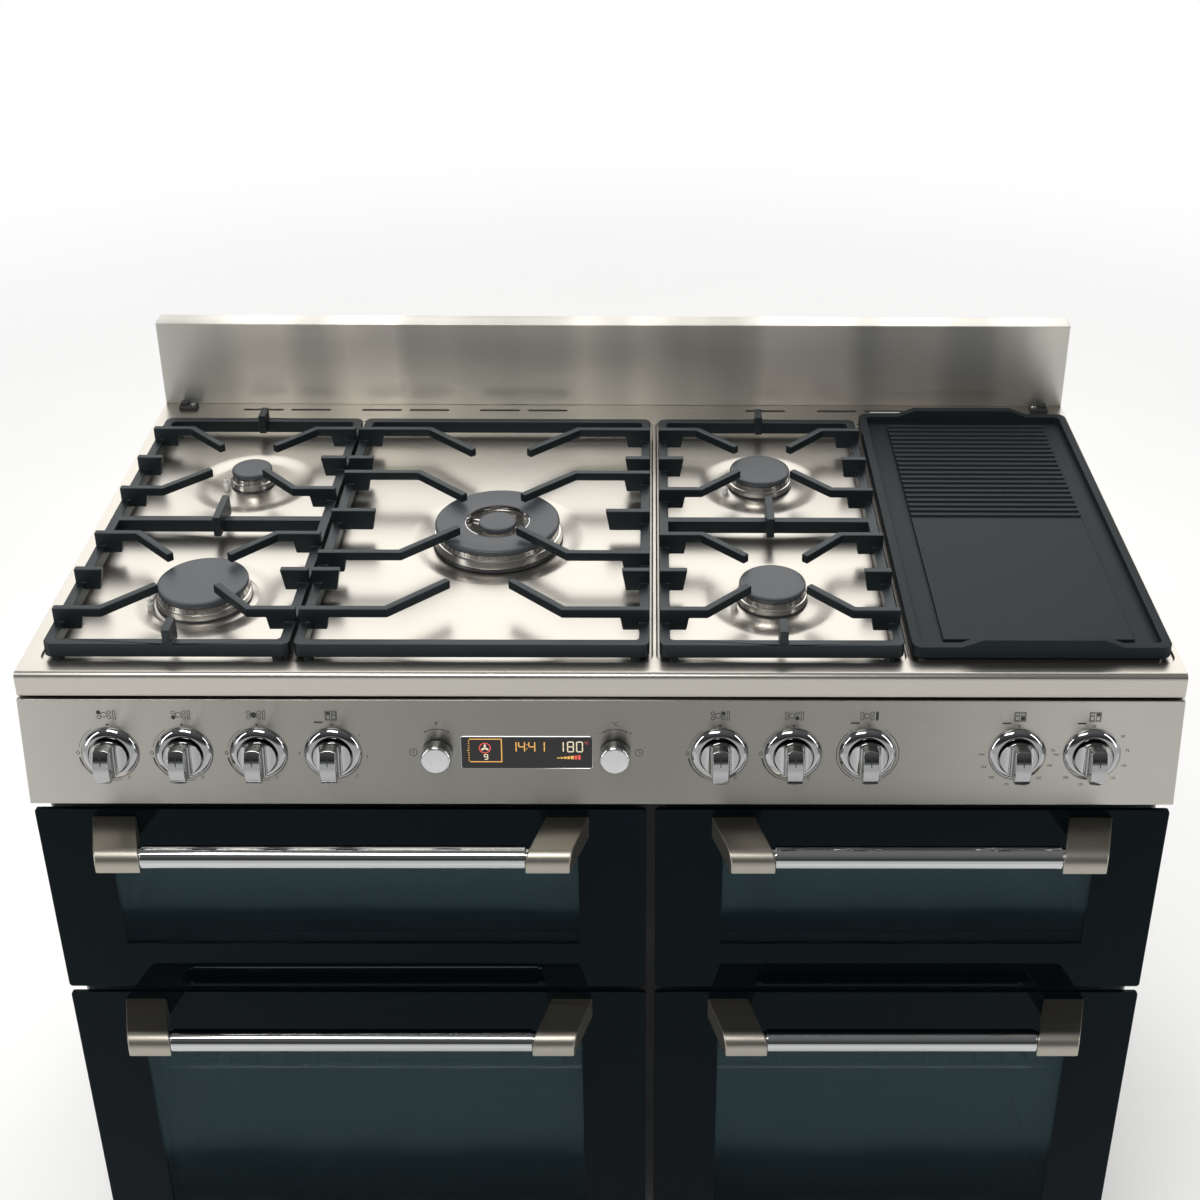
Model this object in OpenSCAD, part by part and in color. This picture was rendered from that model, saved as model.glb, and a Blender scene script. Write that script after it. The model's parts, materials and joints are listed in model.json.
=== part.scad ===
// Freestanding range cooker: gas hob with a wok burner and a cast griddle, and four
// drop-down doors. Millimetres. The front faces -Y, +Z is up, and the origin lies on the
// floor under the middle of the cooker's outline.

/* [Overall] */
// Width over the hob and the doors
width = 1100; // [1090:5:1160]
// Depth from the hob's front edge to the rear of the back panel
depth = 600; // [590:5:650]
// Height of the hob top above the floor
hob_h = 900; // [880:5:940]
// Height of the splashback above the hob top
splash_h = 107; // [60:1:200]
// Thickness of the splashback, front to back
splash_t = 27; // [20:1:40]
// Thickness of the casing's sheet metal
sheet = 2; // [1.5:0.1:2.5]

/* [Hob] */
// Height of the rail along the hob's front
rail_h = 24.5; // [20:0.5:30]
// Radius of the hob's rounded front edge
rail_r = 6; // [4:0.5:10]
// Depth of the pressed wells that the pan supports stand in
well_depth = 3; // [2:0.5:5]
// Corner radius of the wells
well_r = 12; // [6:1:20]
// Setback of the wells from the hob's front edge
well_front = 21; // [16:1:24]
// Depth of the flat strip with the vents, behind the wells
hob_ledge = 44; // [36:1:50]
// Depth of the dish pressed around each burner
dish_depth = 3; // [1:0.5:5]
// Radius of the dish around a small burner
dish_r = 66; // [60:1:68]
// Radius of the dish around the wok burner
wok_dish_r = 92; // [85:1:105]
// Length of a vent slot behind the pan supports
vent_l = 49; // [30:1:55]
// Height of a vent slot
vent_w = 5; // [3:0.5:8]
// Distance between the starts of two pairs of vent slots
vent_pitch = 144; // [130:1:160]

/* [Burners] */
// Distance between neighbouring burner columns, shared out as the pan supports are
burner_pitch = 285; // [275:1:292]
// Distance of the front burners ahead of the cross bar
burner_front = 125; // [118:1:130]
// Distance of the rear burners behind the cross bar
burner_rear = 113; // [106:1:120]
// Cap radius of the large burner, front left
large_cap_r = 45; // [38:1:50]
// Cap radius of the medium burners on the right
medium_cap_r = 33.5; // [28:0.5:38]
// Cap radius of the small burner, rear left
small_cap_r = 22; // [18:0.5:26]
// Outer radius of the wok burner's ring cap
wok_cap_r = 66; // [58:1:72]
// Inner radius of the wok burner's ring cap
wok_hole_r = 33; // [28:0.5:38]
// Radius of the wok burner's middle cap
wok_core_r = 20; // [16:0.5:24]
// Height of the burner caps' tops above the hob
cap_top = 17; // [14:0.5:19]
// Thickness of a burner cap
cap_t = 6; // [4:0.5:7]

/* [Pan supports and griddle] */
// Distance from the cooker's left edge to the first pan support
ps_margin = 21; // [14:1:24]
// Width of the left and right pan supports
ps_w = 232.5; // [226:0.5:233]
// Width of the wok burner's pan support
wok_ps_w = 337; // [330:1:340]
// Space between the pan supports and the wells' rear edge
ps_rear = 27; // [20:1:40]
// Gap between the left and the middle pan support
ps_gap = 3.5; // [2:0.5:5]
// Gap over the ridge between the middle and the right pan support
ridge_gap = 9.5; // [8:0.5:14]
// Width of a frame bar
bar_w = 10; // [8:0.5:12]
// Height of a frame bar
bar_h = 14; // [10:0.5:16]
// Thickness of a finger
finger_w = 7.5; // [5:0.5:9]
// Height of the cooking level above the hob top
ps_top = 31; // [30:0.5:36]
// Depth of a finger's blade
finger_h = 9.5; // [8:0.5:10]
// Depth of the web where a finger meets the frame
web_h = 23; // [20:0.5:25]
// Distance from a burner's middle to the fingers beside it
finger_y = 71; // [64:1:76]
// Width of the griddle. These four columns share the hob's width in these proportions
griddle_w = 248; // [240:1:252]
// Space between the griddle and its well's front and rear edges
griddle_clear = 5; // [3:0.5:12]
// Height of the griddle's rim above the hob top
rim_top = 14; // [11:0.5:18]
// Rise of the griddle's handle lips above its rim
lip_rise = 8; // [4:0.5:12]
// Number of ribs on the griddle
rib_n = 21; // [10:1:24]
// Length of the ribbed half of the griddle
rib_len = 221; // [180:1:260]

/* [Control panel] */
// Height of the control panel along its slope
panel_len = 112.6; // [105:0.2:125]
// Tilt of the control panel from upright
panel_tilt = 7.2; // [0:0.2:12]
// Dark gap between the hob rail and the panel
panel_gap = 2; // [1:0.5:4]
// Distance of the panel's top edge ahead of the hob rail
panel_proud = 3.6; // [0:0.1:6]
// Distance of the knob axes below the panel's top edge
knob_down = 57; // [50:0.5:62]
// Radius of a knob
knob_r = 18; // [15:0.5:20]
// Height of a knob's face above the panel
knob_h = 32; // [26:1:36]
// Width of a knob's grip
grip_w = 15; // [10:0.5:18]
// Outer radius of the chrome ring around a knob
bezel_r = 27.5; // [25:0.5:30]
// Travel of a gas knob when it is pushed
push = 3; // [2:0.5:3]
// Radius of the two programmer knobs
encoder_r = 14.5; // [12:0.5:16]
// Height of the programmer knobs' faces above the panel
encoder_h = 17; // [14:1:20]
// Width of the programmer's display
display_w = 125; // [110:1:130]
// Height of the programmer's display
display_h = 34.4; // [28:0.2:40]

/* [Doors] */
// Width of the left-hand doors
left_door_w = 591; // [570:1:600]
// Gap between the left and the right doors
door_gap_x = 9; // [5:1:12]
// Gap between an upper and a lower door
door_gap_z = 8; // [7:1:14]
// Gap between the panel and the upper doors
door_gap_top = 11; // [8:1:16]
// Height of the upper doors
upper_door_h = 230; // [225:1:250]
// Distance of the door glass ahead of the hob's front edge
door_proud = 12; // [8:1:16]
// Thickness of a door, glass and liner together
door_t = 36; // [34:1:40]
// Thickness of the glass
glass_t = 4; // [3:0.5:5]
// Width of the dark border around a door's window
window_margin = 67; // [60:1:80]
// Distance of the hinge pin behind the door's outer face
hinge_in = 14; // [12:0.5:16]
// Distance of the hinge pin above the door's lower edge
hinge_up = 24; // [20:1:26]
// Radius of a hinge pin
pin_r = 3.5; // [3:0.25:4]
// Radius of a handle bar
handle_r = 11; // [9:0.5:13]
// Reach of a handle bracket ahead of the door
handle_reach = 58; // [52:1:64]
// Width of a handle bracket
bracket_w = 42; // [34:1:48]
// Distance of a bracket from the door's side edge
bracket_in = 55; // [45:1:60]
// Sideways slant of a bracket between its foot and its nose
bracket_slant = 17; // [0:1:22]

/* [Ovens] */
// Distance from a door's side edge to its oven's inside
oven_in = 55; // [50:1:62]
// Distance from a door's lower edge to its oven's floor
oven_up = 38; // [36:1:42]
// Distance from a door's upper edge to its oven's ceiling
oven_down = 32; // [28:1:40]
// Depth of the ovens' insides
oven_d = 430; // [400:5:440]
// Thickness of the ovens' walls
oven_t = 3; // [2:0.5:4]
// Radius of the convection fans
fan_r = 75; // [60:1:80]
// Distance of the fans' covers from the ovens' rear walls
fan_space = 34; // [30:1:40]
// Width of the door seals
seal_w = 10; // [8:0.5:12]
// Wire thickness of an oven shelf's frame
rod_d = 7; // [6:0.5:8]

/* [Base] */
// Height of the casing's floor above the ground
base_h = 100; // [90:1:105]
// Clearance between the ground and the plinth
plinth_clear = 30; // [15:1:40]
// Setback of the plinth from the hob's front edge
plinth_back = 45; // [35:1:60]
// Radius of a foot's pad
foot_r = 22; // [18:1:28]
// Thickness of a foot's pad
foot_t = 12; // [8:1:16]
// Radius of the half-inch gas thread at the back
gas_r = 10.48; // [10.48:0.01:10.48]
// Radius of the cable entry in the back panel
cable_r = 10; // [8:0.5:12]
// Distance between the two wall-chain holes in the back panel
chain_gap = 900; // [700:10:940]
// Radius of a wall-chain hole
chain_hole_r = 2.75; // [2:0.25:4]

/* [Hidden] */

$fn = 48;

// Clearances
eps = 0.01;     // overlap of two forms of one piece that would only touch
seat = 0.3;     // between a loose or moving piece and what carries it
run = 0.1;      // radial, a pin or spindle in its bore
weld = 0.05;    // seam between two sheets or bars that are welded together
gap = 1;        // between a moving piece and an opening around it
cut = 1;        // how far a cut runs past the face that it opens

// Overall
reach = door_proud + handle_reach;
shift_y = (reach - depth) / 2;
half = width / 2;
inner = half - sheet;
set_half = 550;                // the places of vents and knobs below are given for this half width
spread = half / set_half;

// Hob
hob_rear = depth - 1;
hob_y1 = hob_rear - splash_t;
well_end = hob_y1 - hob_ledge;
well_len = well_end - well_front;
floor_z = hob_h - well_depth;
dish_z = floor_z - dish_depth;
burner_seat = dish_z + 2;
rail_z = hob_h - rail_h;
vent_y = (well_end + hob_y1) / 2 + 6;
vent_gap = 9;
vent_left = -452 * spread;
vent_single = 160 * spread;
vent_right = 247 * spread;
flange_h = rail_h - 4;

// Pan supports, from the left
ps_y0 = well_front + 4;
ps_y1 = well_end - ps_rear;
ps_len = ps_y1 - ps_y0;
cross_y = (ps_y0 + ps_y1) / 2;
griddle_gap = 7.5;
griddle_margin = 8.5;
columns_w = 2 * ps_w + wok_ps_w + griddle_w;
columns_room = width - ps_margin - ps_gap - ridge_gap - griddle_gap - griddle_margin;
fit = columns_room / columns_w;
support_w = ps_w * fit;
wok_w = wok_ps_w * fit;
plate_w = griddle_w * fit;
pitch_x = burner_pitch * fit;
ps_x0 = -half + ps_margin;
wok_x0 = ps_x0 + support_w + ps_gap;
right_x0 = wok_x0 + wok_w + ridge_gap;
griddle_x0 = right_x0 + support_w + griddle_gap;
griddle_y0 = well_front + griddle_clear;
plate_len = well_len - 2 * griddle_clear;
bar_z = hob_h + ps_top - 14.5 - bar_h;
finger_z = hob_h + ps_top - finger_h;
web_z = hob_h + ps_top - web_h;
frame_r = 8;
lug_l = 28;
wok_lug_l = 47;
web_top_l = 30;
web_slope = 4;
bend_l = 45;
wok_bend_l = 83;
tip_x = 29.5;
tip_y = 28;
wok_tip_x = 31;
wok_outer_y = [190, 138];
wok_inner_y = [85, 34];
fin_l = 25;
fin_w = 8;
pad_r = 5;
pad_in = pad_r + 1;

// Burners: place, cap radius, dish radius
burner_x0 = ps_x0 + support_w / 2 + 9.75;
wok_y = cross_y - 6;
burners = [
  [burner_x0, cross_y + burner_rear, small_cap_r, dish_r],
  [burner_x0, cross_y - burner_front, large_cap_r, dish_r + 5],
  [burner_x0 + 2 * pitch_x, cross_y + burner_rear, medium_cap_r, dish_r],
  [burner_x0 + 2 * pitch_x, cross_y - burner_front, medium_cap_r, dish_r]];
wok_x = burner_x0 + pitch_x;
cup_step = 8;        // the mixing cup under the hob is this much slimmer than the cap
cup_h = 26;
wok_cup_r = 40;
cap_bottom = hob_h + cap_top - cap_t;
wok_cap_lift = 2;

// Griddle, heights above the hob top
griddle_low = 2;
griddle_floor = 6;
griddle_face = 10;
rib_h = 2;
rim_w = 9;
channel_w = 23;
griddle_r = 10;
ribs_front = 20;
ribs_rear = 26;
griddle_pad_r = 6;
griddle_pad_in = 24;
lip_l = 115;
lip_slope = 20;

// Wells: left and right edge of each
ridge_w = 4.5;
well_x = [
  [ps_x0 - 4, right_x0 - ridge_gap / 2 - ridge_w / 2],
  [right_x0 - ridge_gap / 2 + ridge_w / 2, griddle_x0 - griddle_gap / 2 - ridge_w / 4],
  [griddle_x0 - griddle_gap / 2 + ridge_w / 4, griddle_x0 + plate_w + 3]];
glass_in = 6;
hot_cut_in = 32;

// Control panel
panel_z1 = rail_z - panel_gap;
panel_drop = panel_len * cos(panel_tilt);
panel_out = panel_len * sin(panel_tilt);
panel_z0 = panel_z1 - panel_drop;
carcass_y = door_t - door_proud + 4;
gas_knobs = [-467.5, -397.5, -326.8, 111, 181] * spread;
oven_knobs = [-256.3, 252, 394.7, 466] * spread;
all_knobs = concat(gas_knobs, oven_knobs);
encoders = [for (s = [-1, 1]) -72.95 * spread + s * 84.45];
display_x = (encoders[0] + encoders[1]) / 2 + 0.5;
encoder_down = 55.8;
bezel_top = 6;
bezel_hole_r = knob_r + gap;
spindle_r = 4;
spindle_top = 20;
spindle_in = 38;
neck_r = 9;
shaft_r = 3;
shaft_in = 26;
encoder_in = 14;
encoder_wall = 6;
spindle_hole_r = 6;
knob_low = push + 0.5;
rail_pipe_r = 9;
valve_l = 48;
valve_w = 26;
valve_clear = 8;
thermostat_l = 30;
thermostat_w = 42;

// Doors: left edge, right edge, bottom, top
left_x1 = -half + left_door_w;
right_door_x0 = left_x1 + door_gap_x;
upper_z1 = panel_z0 - door_gap_top;
upper_z0 = upper_z1 - upper_door_h;
lower_z1 = upper_z0 - door_gap_z;
lower_z0 = base_h + 8;
grill = [-half, left_x1, upper_z0, upper_z1];
main_oven = [-half, left_x1, lower_z0, lower_z1];
small_oven = [right_door_x0, half, upper_z0, upper_z1];
tall_oven = [right_door_x0, half, lower_z0, lower_z1];
doors = [grill, main_oven, small_oven, tall_oven];
door_y0 = -door_proud;
door_y1 = door_y0 + door_t;
hinge_y = door_y0 + hinge_in;
door_r = 4;
liner_in = 12;
liner_low = hinge_up - pin_r - 1;
window_up = 58;
window_down = 60;
arm_w = 6;
arm_in = 40;
arm_h = 8;
eye_r = pin_r + 3.5;
ear_w = 4;
slot_w = arm_w + 3;
bracket_drop = 8.5;
bracket_foot_h = 25;
bracket_nose_h = 21;
bracket_nose_r = 14;
bar_out = 46;
bar_drop = 11;
bar_fit_r = min(handle_r, bar_drop) - 2;
bar_socket_r = bar_fit_r + run;

// Ovens
oven_y0 = carcass_y + sheet;
oven_y1 = oven_y0 + oven_d;
fan_up = fan_r + 50;
fan_hole_r = 8;
cover_t = 1.5;
cover_half = fan_r + 40;
cover_low = 4;
cover_up = fan_r + 32;
cover_hole_r = 9;
motor_l = 45;
motor_r = 32;
motor_bore_l = 30;
ledge_w = 8;
ledge_h = 4;
ledge_past = 5;
shelf_gap = 2;
shelf_front = 20;
shelf_rear = 55;
shelf_drop = 94;
wire_n = 13;
wire_d = 4;
element_r = 3.5;
ring_r = fan_r + 14;
lead_x = 12;
lead_up = ring_r - 1;
grill_drop = 26;

// Base and back
back_y0 = depth - sheet;
gas_x = -half + 40;
gas_hole_r = 16;
cable_x = half - 90;
cable_z = base_h + 60;
chain_z = hob_h - 60;
foot_x = half - 50;
foot_ys = [plinth_back + 35, depth - 40];
post = 20;
floor_t = 3;
front_past = 14;
plinth_in = 6;

function knob_y(down) = -panel_proud - down * sin(panel_tilt);
function knob_z(down) = panel_z1 - down * cos(panel_tilt);
function arc(cx, cy, r, a0, a1, n) =
  [for (i = [0:n]) [cx + r * cos(a0 + (a1 - a0) * i / n), cy + r * sin(a0 + (a1 - a0) * i / n)]];

// Everything is drawn with y = 0 at the hob's front edge, then moved to the origin
module placed() {
  translate([0, shift_y, 0]) children();
}

// Local frame on the control panel: X right, Y up the slope, Z out of the panel
module on_panel(x, down) {
  translate([x, knob_y(down), knob_z(down)]) rotate([90 - panel_tilt, 0, 0]) children();
}

module block(x0, x1, y0, y1, z0, z1) {
  translate([x0, y0, z0]) cube([x1 - x0, y1 - y0, z1 - z0]);
}

// Outline in Y and Z, extruded along X
module across(x0, x1) {
  translate([x0, 0, 0]) rotate([90, 0, 90]) linear_extrude(x1 - x0) children();
}

// Outline in X and Z, extruded along Y
module along(y0, y1) {
  translate([0, y1, 0]) rotate([90, 0, 0]) linear_extrude(y1 - y0) children();
}

module rounded(x0, x1, y0, y1, r) {
  translate([x0 + r, y0]) square([x1 - x0 - 2 * r, y1 - y0]);
  translate([x0, y0 + r]) square([x1 - x0, y1 - y0 - 2 * r]);
  for (x = [x0 + r, x1 - r], y = [y0 + r, y1 - r]) translate([x, y]) circle(r);
}

module rounded_block(x0, x1, y0, y1, z0, z1, r) {
  translate([0, 0, z0]) linear_extrude(z1 - z0) rounded(x0, x1, y0, y1, r);
}

// ---- casing ----

// Welded from strips, angles and bars that meet face to face
module chassis_frame() {
  color("gainsboro") placed() {
    front_strips();
    block(-inner, inner, oven_y0 + weld, back_y0, base_h, base_h + floor_t);
    for (s = [-1, 1]) {
      for (y = [oven_y0 + weld, back_y0 - post]) post_at(s, y);
      side_bar(s);
    }
    block(-inner + post + weld, inner - post - weld, back_y0 - sheet, back_y0, rail_z - post, rail_z);
    difference() {
      valve_plate();
      feed_pipe(rail_pipe_r + gap);
    }
    for (d = doors, s = [-1, 1]) hinge_arm(d, s);
  }
}

// The face behind the doors: three uprights, and three strips across each column of ovens
module front_strips() {
  x = [-inner, grill[0] + oven_in, grill[1] - oven_in, small_oven[0] + oven_in,
    small_oven[1] - oven_in, inner];
  z = [base_h, lower_z0 + oven_up, lower_z1 - oven_down, upper_z0 + oven_up,
    upper_z1 - oven_down, panel_z0 + front_past];
  for (i = [0, 2, 4]) block(x[i], x[i + 1], carcass_y, oven_y0, z[0], z[5]);
  for (i = [1, 3], k = [0, 2, 4])
    block(x[i] + weld, x[i + 1] - weld, carcass_y, oven_y0, z[k], z[k + 1]);
}

module post_at(s, y) {
  block(s > 0 ? inner - post : -inner, s > 0 ? inner : -inner + post, y, y + post,
    base_h + floor_t + weld, rail_z);
}

module side_bar(s) {
  block(s > 0 ? inner - post : -inner, s > 0 ? inner : -inner + post,
    oven_y0 + post + 2 * weld, back_y0 - post - weld, rail_z - post, rail_z);
}

function pipe_y() = knob_y(knob_down) + (valve_l + rail_pipe_r) * cos(panel_tilt);
function pipe_z() = knob_z(knob_down) - (valve_l + rail_pipe_r) * sin(panel_tilt);

module valve_plate() {
  plate_y = pipe_y() + rail_pipe_r + 0.2;
  block(-inner + post + weld, inner - post - weld, plate_y, plate_y + sheet, pipe_z() - post, rail_z);
}

function arm_x(d, s) = s > 0 ? d[1] - arm_in : d[0] + arm_in;

module hinge_arm(d, s) {
  translate([arm_x(d, s) - arm_w / 2, 0, d[2] + hinge_up]) difference() {
    union() {
      block(0, arm_w, hinge_y, carcass_y - weld, -arm_h / 2, arm_h / 2);
      translate([0, hinge_y, 0]) rotate([0, 90, 0]) cylinder(h = arm_w, r = eye_r);
    }
    translate([-cut, hinge_y, 0]) rotate([0, 90, 0]) cylinder(h = arm_w + 2 * cut, r = pin_r + run);
  }
}

module side_panels() {
  color("dimgray") placed() for (x = [-half, inner])
    block(x, x + sheet, carcass_y, depth, base_h - 10, rail_z);
}

module back_panel() {
  color("silver") placed() difference() {
    block(-inner, inner, back_y0, depth, base_h, rail_z);
    back_hole(gas_x, pipe_z(), gas_hole_r);
    back_hole(cable_x, cable_z, cable_r);
    for (s = [-1, 1]) back_hole(s * chain_gap / 2, chain_z, chain_hole_r);
  }
}

module back_hole(x, z, r) {
  translate([x, back_y0 - cut, z]) rotate([-90, 0, 0]) cylinder(h = sheet + 2 * cut, r = r);
}

module plinth() {
  returns_y = depth - 30;
  color("dimgray") placed() {
    block(-inner + plinth_in, inner - plinth_in, plinth_back, plinth_back + sheet, plinth_clear,
      base_h);
    for (x = [-inner + plinth_in, inner - plinth_in - sheet])
      block(x, x + sheet, plinth_back, returns_y, plinth_clear, base_h);
  }
}

module feet() {
  stem_r = 6;
  color("black") placed() for (x = [-foot_x, foot_x], y = foot_ys) translate([x, y, 0]) {
    cylinder(h = foot_t, r = foot_r);
    cylinder(h = base_h, r = stem_r);
  }
}

// ---- hob ----

module hob_plate() {
  color("silver") placed() difference() {
    union() {
      across(-half, half) rail_profile();
      for (x = [-half, inner]) block(x, x + sheet, rail_r, hob_rear, rail_z, hob_h - sheet);
      for (w = well_x) well_tray(w);
      for (b = burners) translate([b[0], b[1], floor_z]) dish(b[3]);
      translate([wok_x, wok_y, floor_z]) dish(wok_dish_r);
    }
    for (w = well_x) rounded_block(w[0], w[1], well_front, well_end, floor_z, hob_h + 1, well_r);
    for (b = burners) dish_cut(b[0], b[1], b[3], b[2] - cup_step);
    dish_cut(wok_x, wok_y, wok_dish_r, wok_cup_r);
    hot_zone_cut();
    for (i = [0:2]) vent_pair(vent_left + i * vent_pitch);
    vent_slot(vent_single);
    vent_pair(vent_right);
  }
}

// The rail's rounded front with the plate's edge behind it, and the rear flange
module rail_profile() {
  r = rail_r;
  low = hob_h - flange_h;
  polygon(concat(arc(r, hob_h - r, r, 180, 90, 8),
    [[hob_rear, hob_h], [hob_rear, low], [hob_rear - sheet, low], [hob_rear - sheet, hob_h - sheet]],
    arc(r, hob_h - r, r - sheet, 90, 180, 8), [[sheet, rail_z], [0, rail_z]]));
}

module well_tray(w) {
  rounded_block(w[0] - sheet / 2, w[1] + sheet / 2, well_front - sheet, well_end + sheet,
    floor_z - sheet, hob_h - sheet + eps, well_r);
}

module dish(r) {
  translate([0, 0, -dish_depth - sheet]) cylinder(h = dish_depth + sheet / 2, r = r);
}

// Sloping wall, flat bottom, raised seat under the burner and a hole for its mixing cup
module dish_cut(x, y, r, cup_r) {
  slope = 14;
  seat_z = burner_seat - floor_z;
  seat_r = cup_r + 12;
  seat_slope = 4;
  hole_r = cup_r + gap;
  low = -dish_depth - sheet - cut;
  translate([x, y, floor_z]) rotate_extrude() polygon([
    [r, 0], [r - slope, -dish_depth], [seat_r + seat_slope, -dish_depth], [seat_r, seat_z],
    [hole_r, seat_z], [hole_r, low], [0, low], [0, eps], [r, eps]]);
}

module hot_zone_cut() {
  rounded_block(well_x[2][0] + hot_cut_in, well_x[2][1] - hot_cut_in, well_front + hot_cut_in,
    well_end - hot_cut_in, floor_z - sheet - 1, hob_h, well_r);
}

module vent_slot(x) {
  rounded_block(x, x + vent_l, vent_y - vent_w / 2, vent_y + vent_w / 2, hob_h - sheet - 1,
    hob_h + 1, vent_w / 2 - eps);
}

module vent_pair(x) {
  vent_slot(x);
  vent_slot(x + vent_l + vent_gap);
}

module splashback() {
  color("silver") placed() {
    y0 = hob_y1;
    difference() {
      block(-half, half, y0, y0 + splash_t, hob_h, hob_h + splash_h);
      block(-inner, inner, y0 + sheet, y0 + splash_t + 1, hob_h - 1, hob_h + splash_h - sheet);
    }
    block(-inner - eps, inner + eps, y0 + splash_t - sheet, y0 + splash_t, hob_h,
      hob_h + splash_h - sheet + eps);
  }
}

module hot_zone_glass() {
  w = well_x[2];
  color("black") placed() rounded_block(w[0] + glass_in, w[1] - glass_in, well_front + glass_in,
    well_end - glass_in, floor_z, hob_h - eps, well_r);
}

// ---- burners ----

module burner_heads() {
  color("lightgray") placed() {
    for (b = burners) translate([b[0], b[1], 0]) {
      translate([0, 0, burner_seat]) cylinder(h = cap_bottom - burner_seat, r = b[2] - 1.5);
      translate([0, 0, burner_seat - cup_h]) cylinder(h = cup_h, r = b[2] - cup_step);
    }
    translate([wok_x, wok_y, burner_seat]) {
      ring_h = cap_bottom + wok_cap_lift - burner_seat;
      difference() {
        cylinder(h = ring_h, r = wok_cap_r - 1.5);
        translate([0, 0, 3]) cylinder(h = ring_h, r = wok_hole_r + 1);
      }
      cylinder(h = ring_h - 1, r = wok_core_r - 1.5);
      translate([0, 0, -cup_h]) cylinder(h = cup_h + eps, r = wok_cup_r);
    }
  }
}

module burner_caps() {
  color("#2b2d30") placed() {
    for (b = burners) translate([b[0], b[1], cap_bottom]) cap(b[2]);
    translate([wok_x, wok_y, cap_bottom + wok_cap_lift]) ring_cap(wok_hole_r, wok_cap_r);
    translate([wok_x, wok_y, cap_bottom + wok_cap_lift - 1]) cap(wok_core_r);
  }
}

module cap(r) {
  rotate_extrude() polygon(concat([[0, 0], [r, 0]], arc(r - 2, cap_t - 2, 2, 0, 90, 4),
    [[0, cap_t]]));
}

module ring_cap(r0, r1) {
  rotate_extrude() polygon(concat([[r0, 0], [r1, 0]], arc(r1 - 2, cap_t - 2, 2, 0, 90, 4),
    arc(r0 + 2, cap_t - 2, 2, 90, 180, 4)));
}

// ---- pan supports ----

// Outline of a strip of width w that runs from p to q, bends there and goes on to r
function side_step(a, b) = [a[1] - b[1], b[0] - a[0]] / norm(b - a);
function strip(p, q, r, w) = let (
    n1 = side_step(p, q) * w / 2,
    n2 = side_step(q, r) * w / 2,
    corner = (n1 + n2) / (1 + n1 * n2 * 4 / (w * w)))
  [p + n1, q + corner, r + n2, r - n2, q - corner, p - n1];

// Deep web at the frame; dir is 1 where it runs to the right
module web(x, dir, y, len) {
  along(y - finger_w / 2, y + finger_w / 2) polygon([[x, web_z], [x, hob_h + ps_top],
    [x + dir * len, hob_h + ps_top], [x + dir * (len - web_slope), web_z]]);
}

module finger(x, dir, y, bend, tip) {
  web(x, dir, y, web_top_l);
  translate([0, 0, finger_z]) linear_extrude(finger_h)
    polygon(strip([x, y], [x + dir * bend, y], tip, finger_w));
}

module frame_ring(x0, w) {
  difference() {
    rounded_block(x0, x0 + w, ps_y0, ps_y1, bar_z, bar_z + bar_h, frame_r);
    rounded_block(x0 + bar_w, x0 + w - bar_w, ps_y0 + bar_w, ps_y1 - bar_w, bar_z - cut,
      bar_z + bar_h + cut, frame_r / 2);
  }
  for (x = [x0 + frame_r + pad_r, x0 + w - frame_r - pad_r], y = [ps_y0 + pad_in, ps_y1 - pad_in])
    translate([x, y, floor_z + seat]) cylinder(h = bar_z - floor_z, r = pad_r);
}

module fin(x, y0, y1) {
  block(x - fin_w / 2, x + fin_w / 2, y0, y1, web_z, hob_h + ps_top);
}

module double_support(x0) {
  mid = x0 + support_w / 2 + 1.5;
  frame_ring(x0, support_w);
  block(x0 + bar_w - 1, x0 + support_w - bar_w + 1, cross_y - bar_w / 2, cross_y + bar_w / 2,
    bar_z, bar_z + bar_h);
  for (by = [cross_y - burner_front, cross_y + burner_rear]) {
    for (s = [-1, 1]) {
      finger(x0, 1, by + s * finger_y, bend_l, [mid - tip_x, by + s * tip_y]);
      finger(x0 + support_w, -1, by + s * finger_y, bend_l, [mid + tip_x, by + s * tip_y]);
    }
    web(x0, 1, by, lug_l);
    web(x0 + support_w, -1, by, lug_l);
  }
  fin(mid, ps_y0 + 1, ps_y0 + fin_l);
  fin(mid, cross_y - fin_l, cross_y + fin_l);
  fin(mid, ps_y1 - fin_l, ps_y1 - 1);
}

module pan_support_left() {
  color("#23272b") placed() double_support(ps_x0);
}

module pan_support_right() {
  color("#23272b") placed() double_support(right_x0);
}

module pan_support_middle() {
  mid = wok_x0 + wok_w / 2;
  color("#23272b") placed() {
    frame_ring(wok_x0, wok_w);
    for (e = [[wok_x0, 1], [wok_x0 + wok_w, -1]], s = [-1, 1]) {
      for (y = [wok_outer_y, wok_inner_y])
        finger(e[0], e[1], wok_y + s * y[0], wok_bend_l, [mid - e[1] * wok_tip_x, wok_y + s * y[1]]);
    }
    for (e = [[wok_x0, 1], [wok_x0 + wok_w, -1]]) {
      web(e[0], e[1], cross_y + burner_rear, lug_l);
      web(e[0], e[1], cross_y - burner_front, lug_l);
      web(e[0], e[1], wok_y, wok_lug_l);
    }
  }
}

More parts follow.
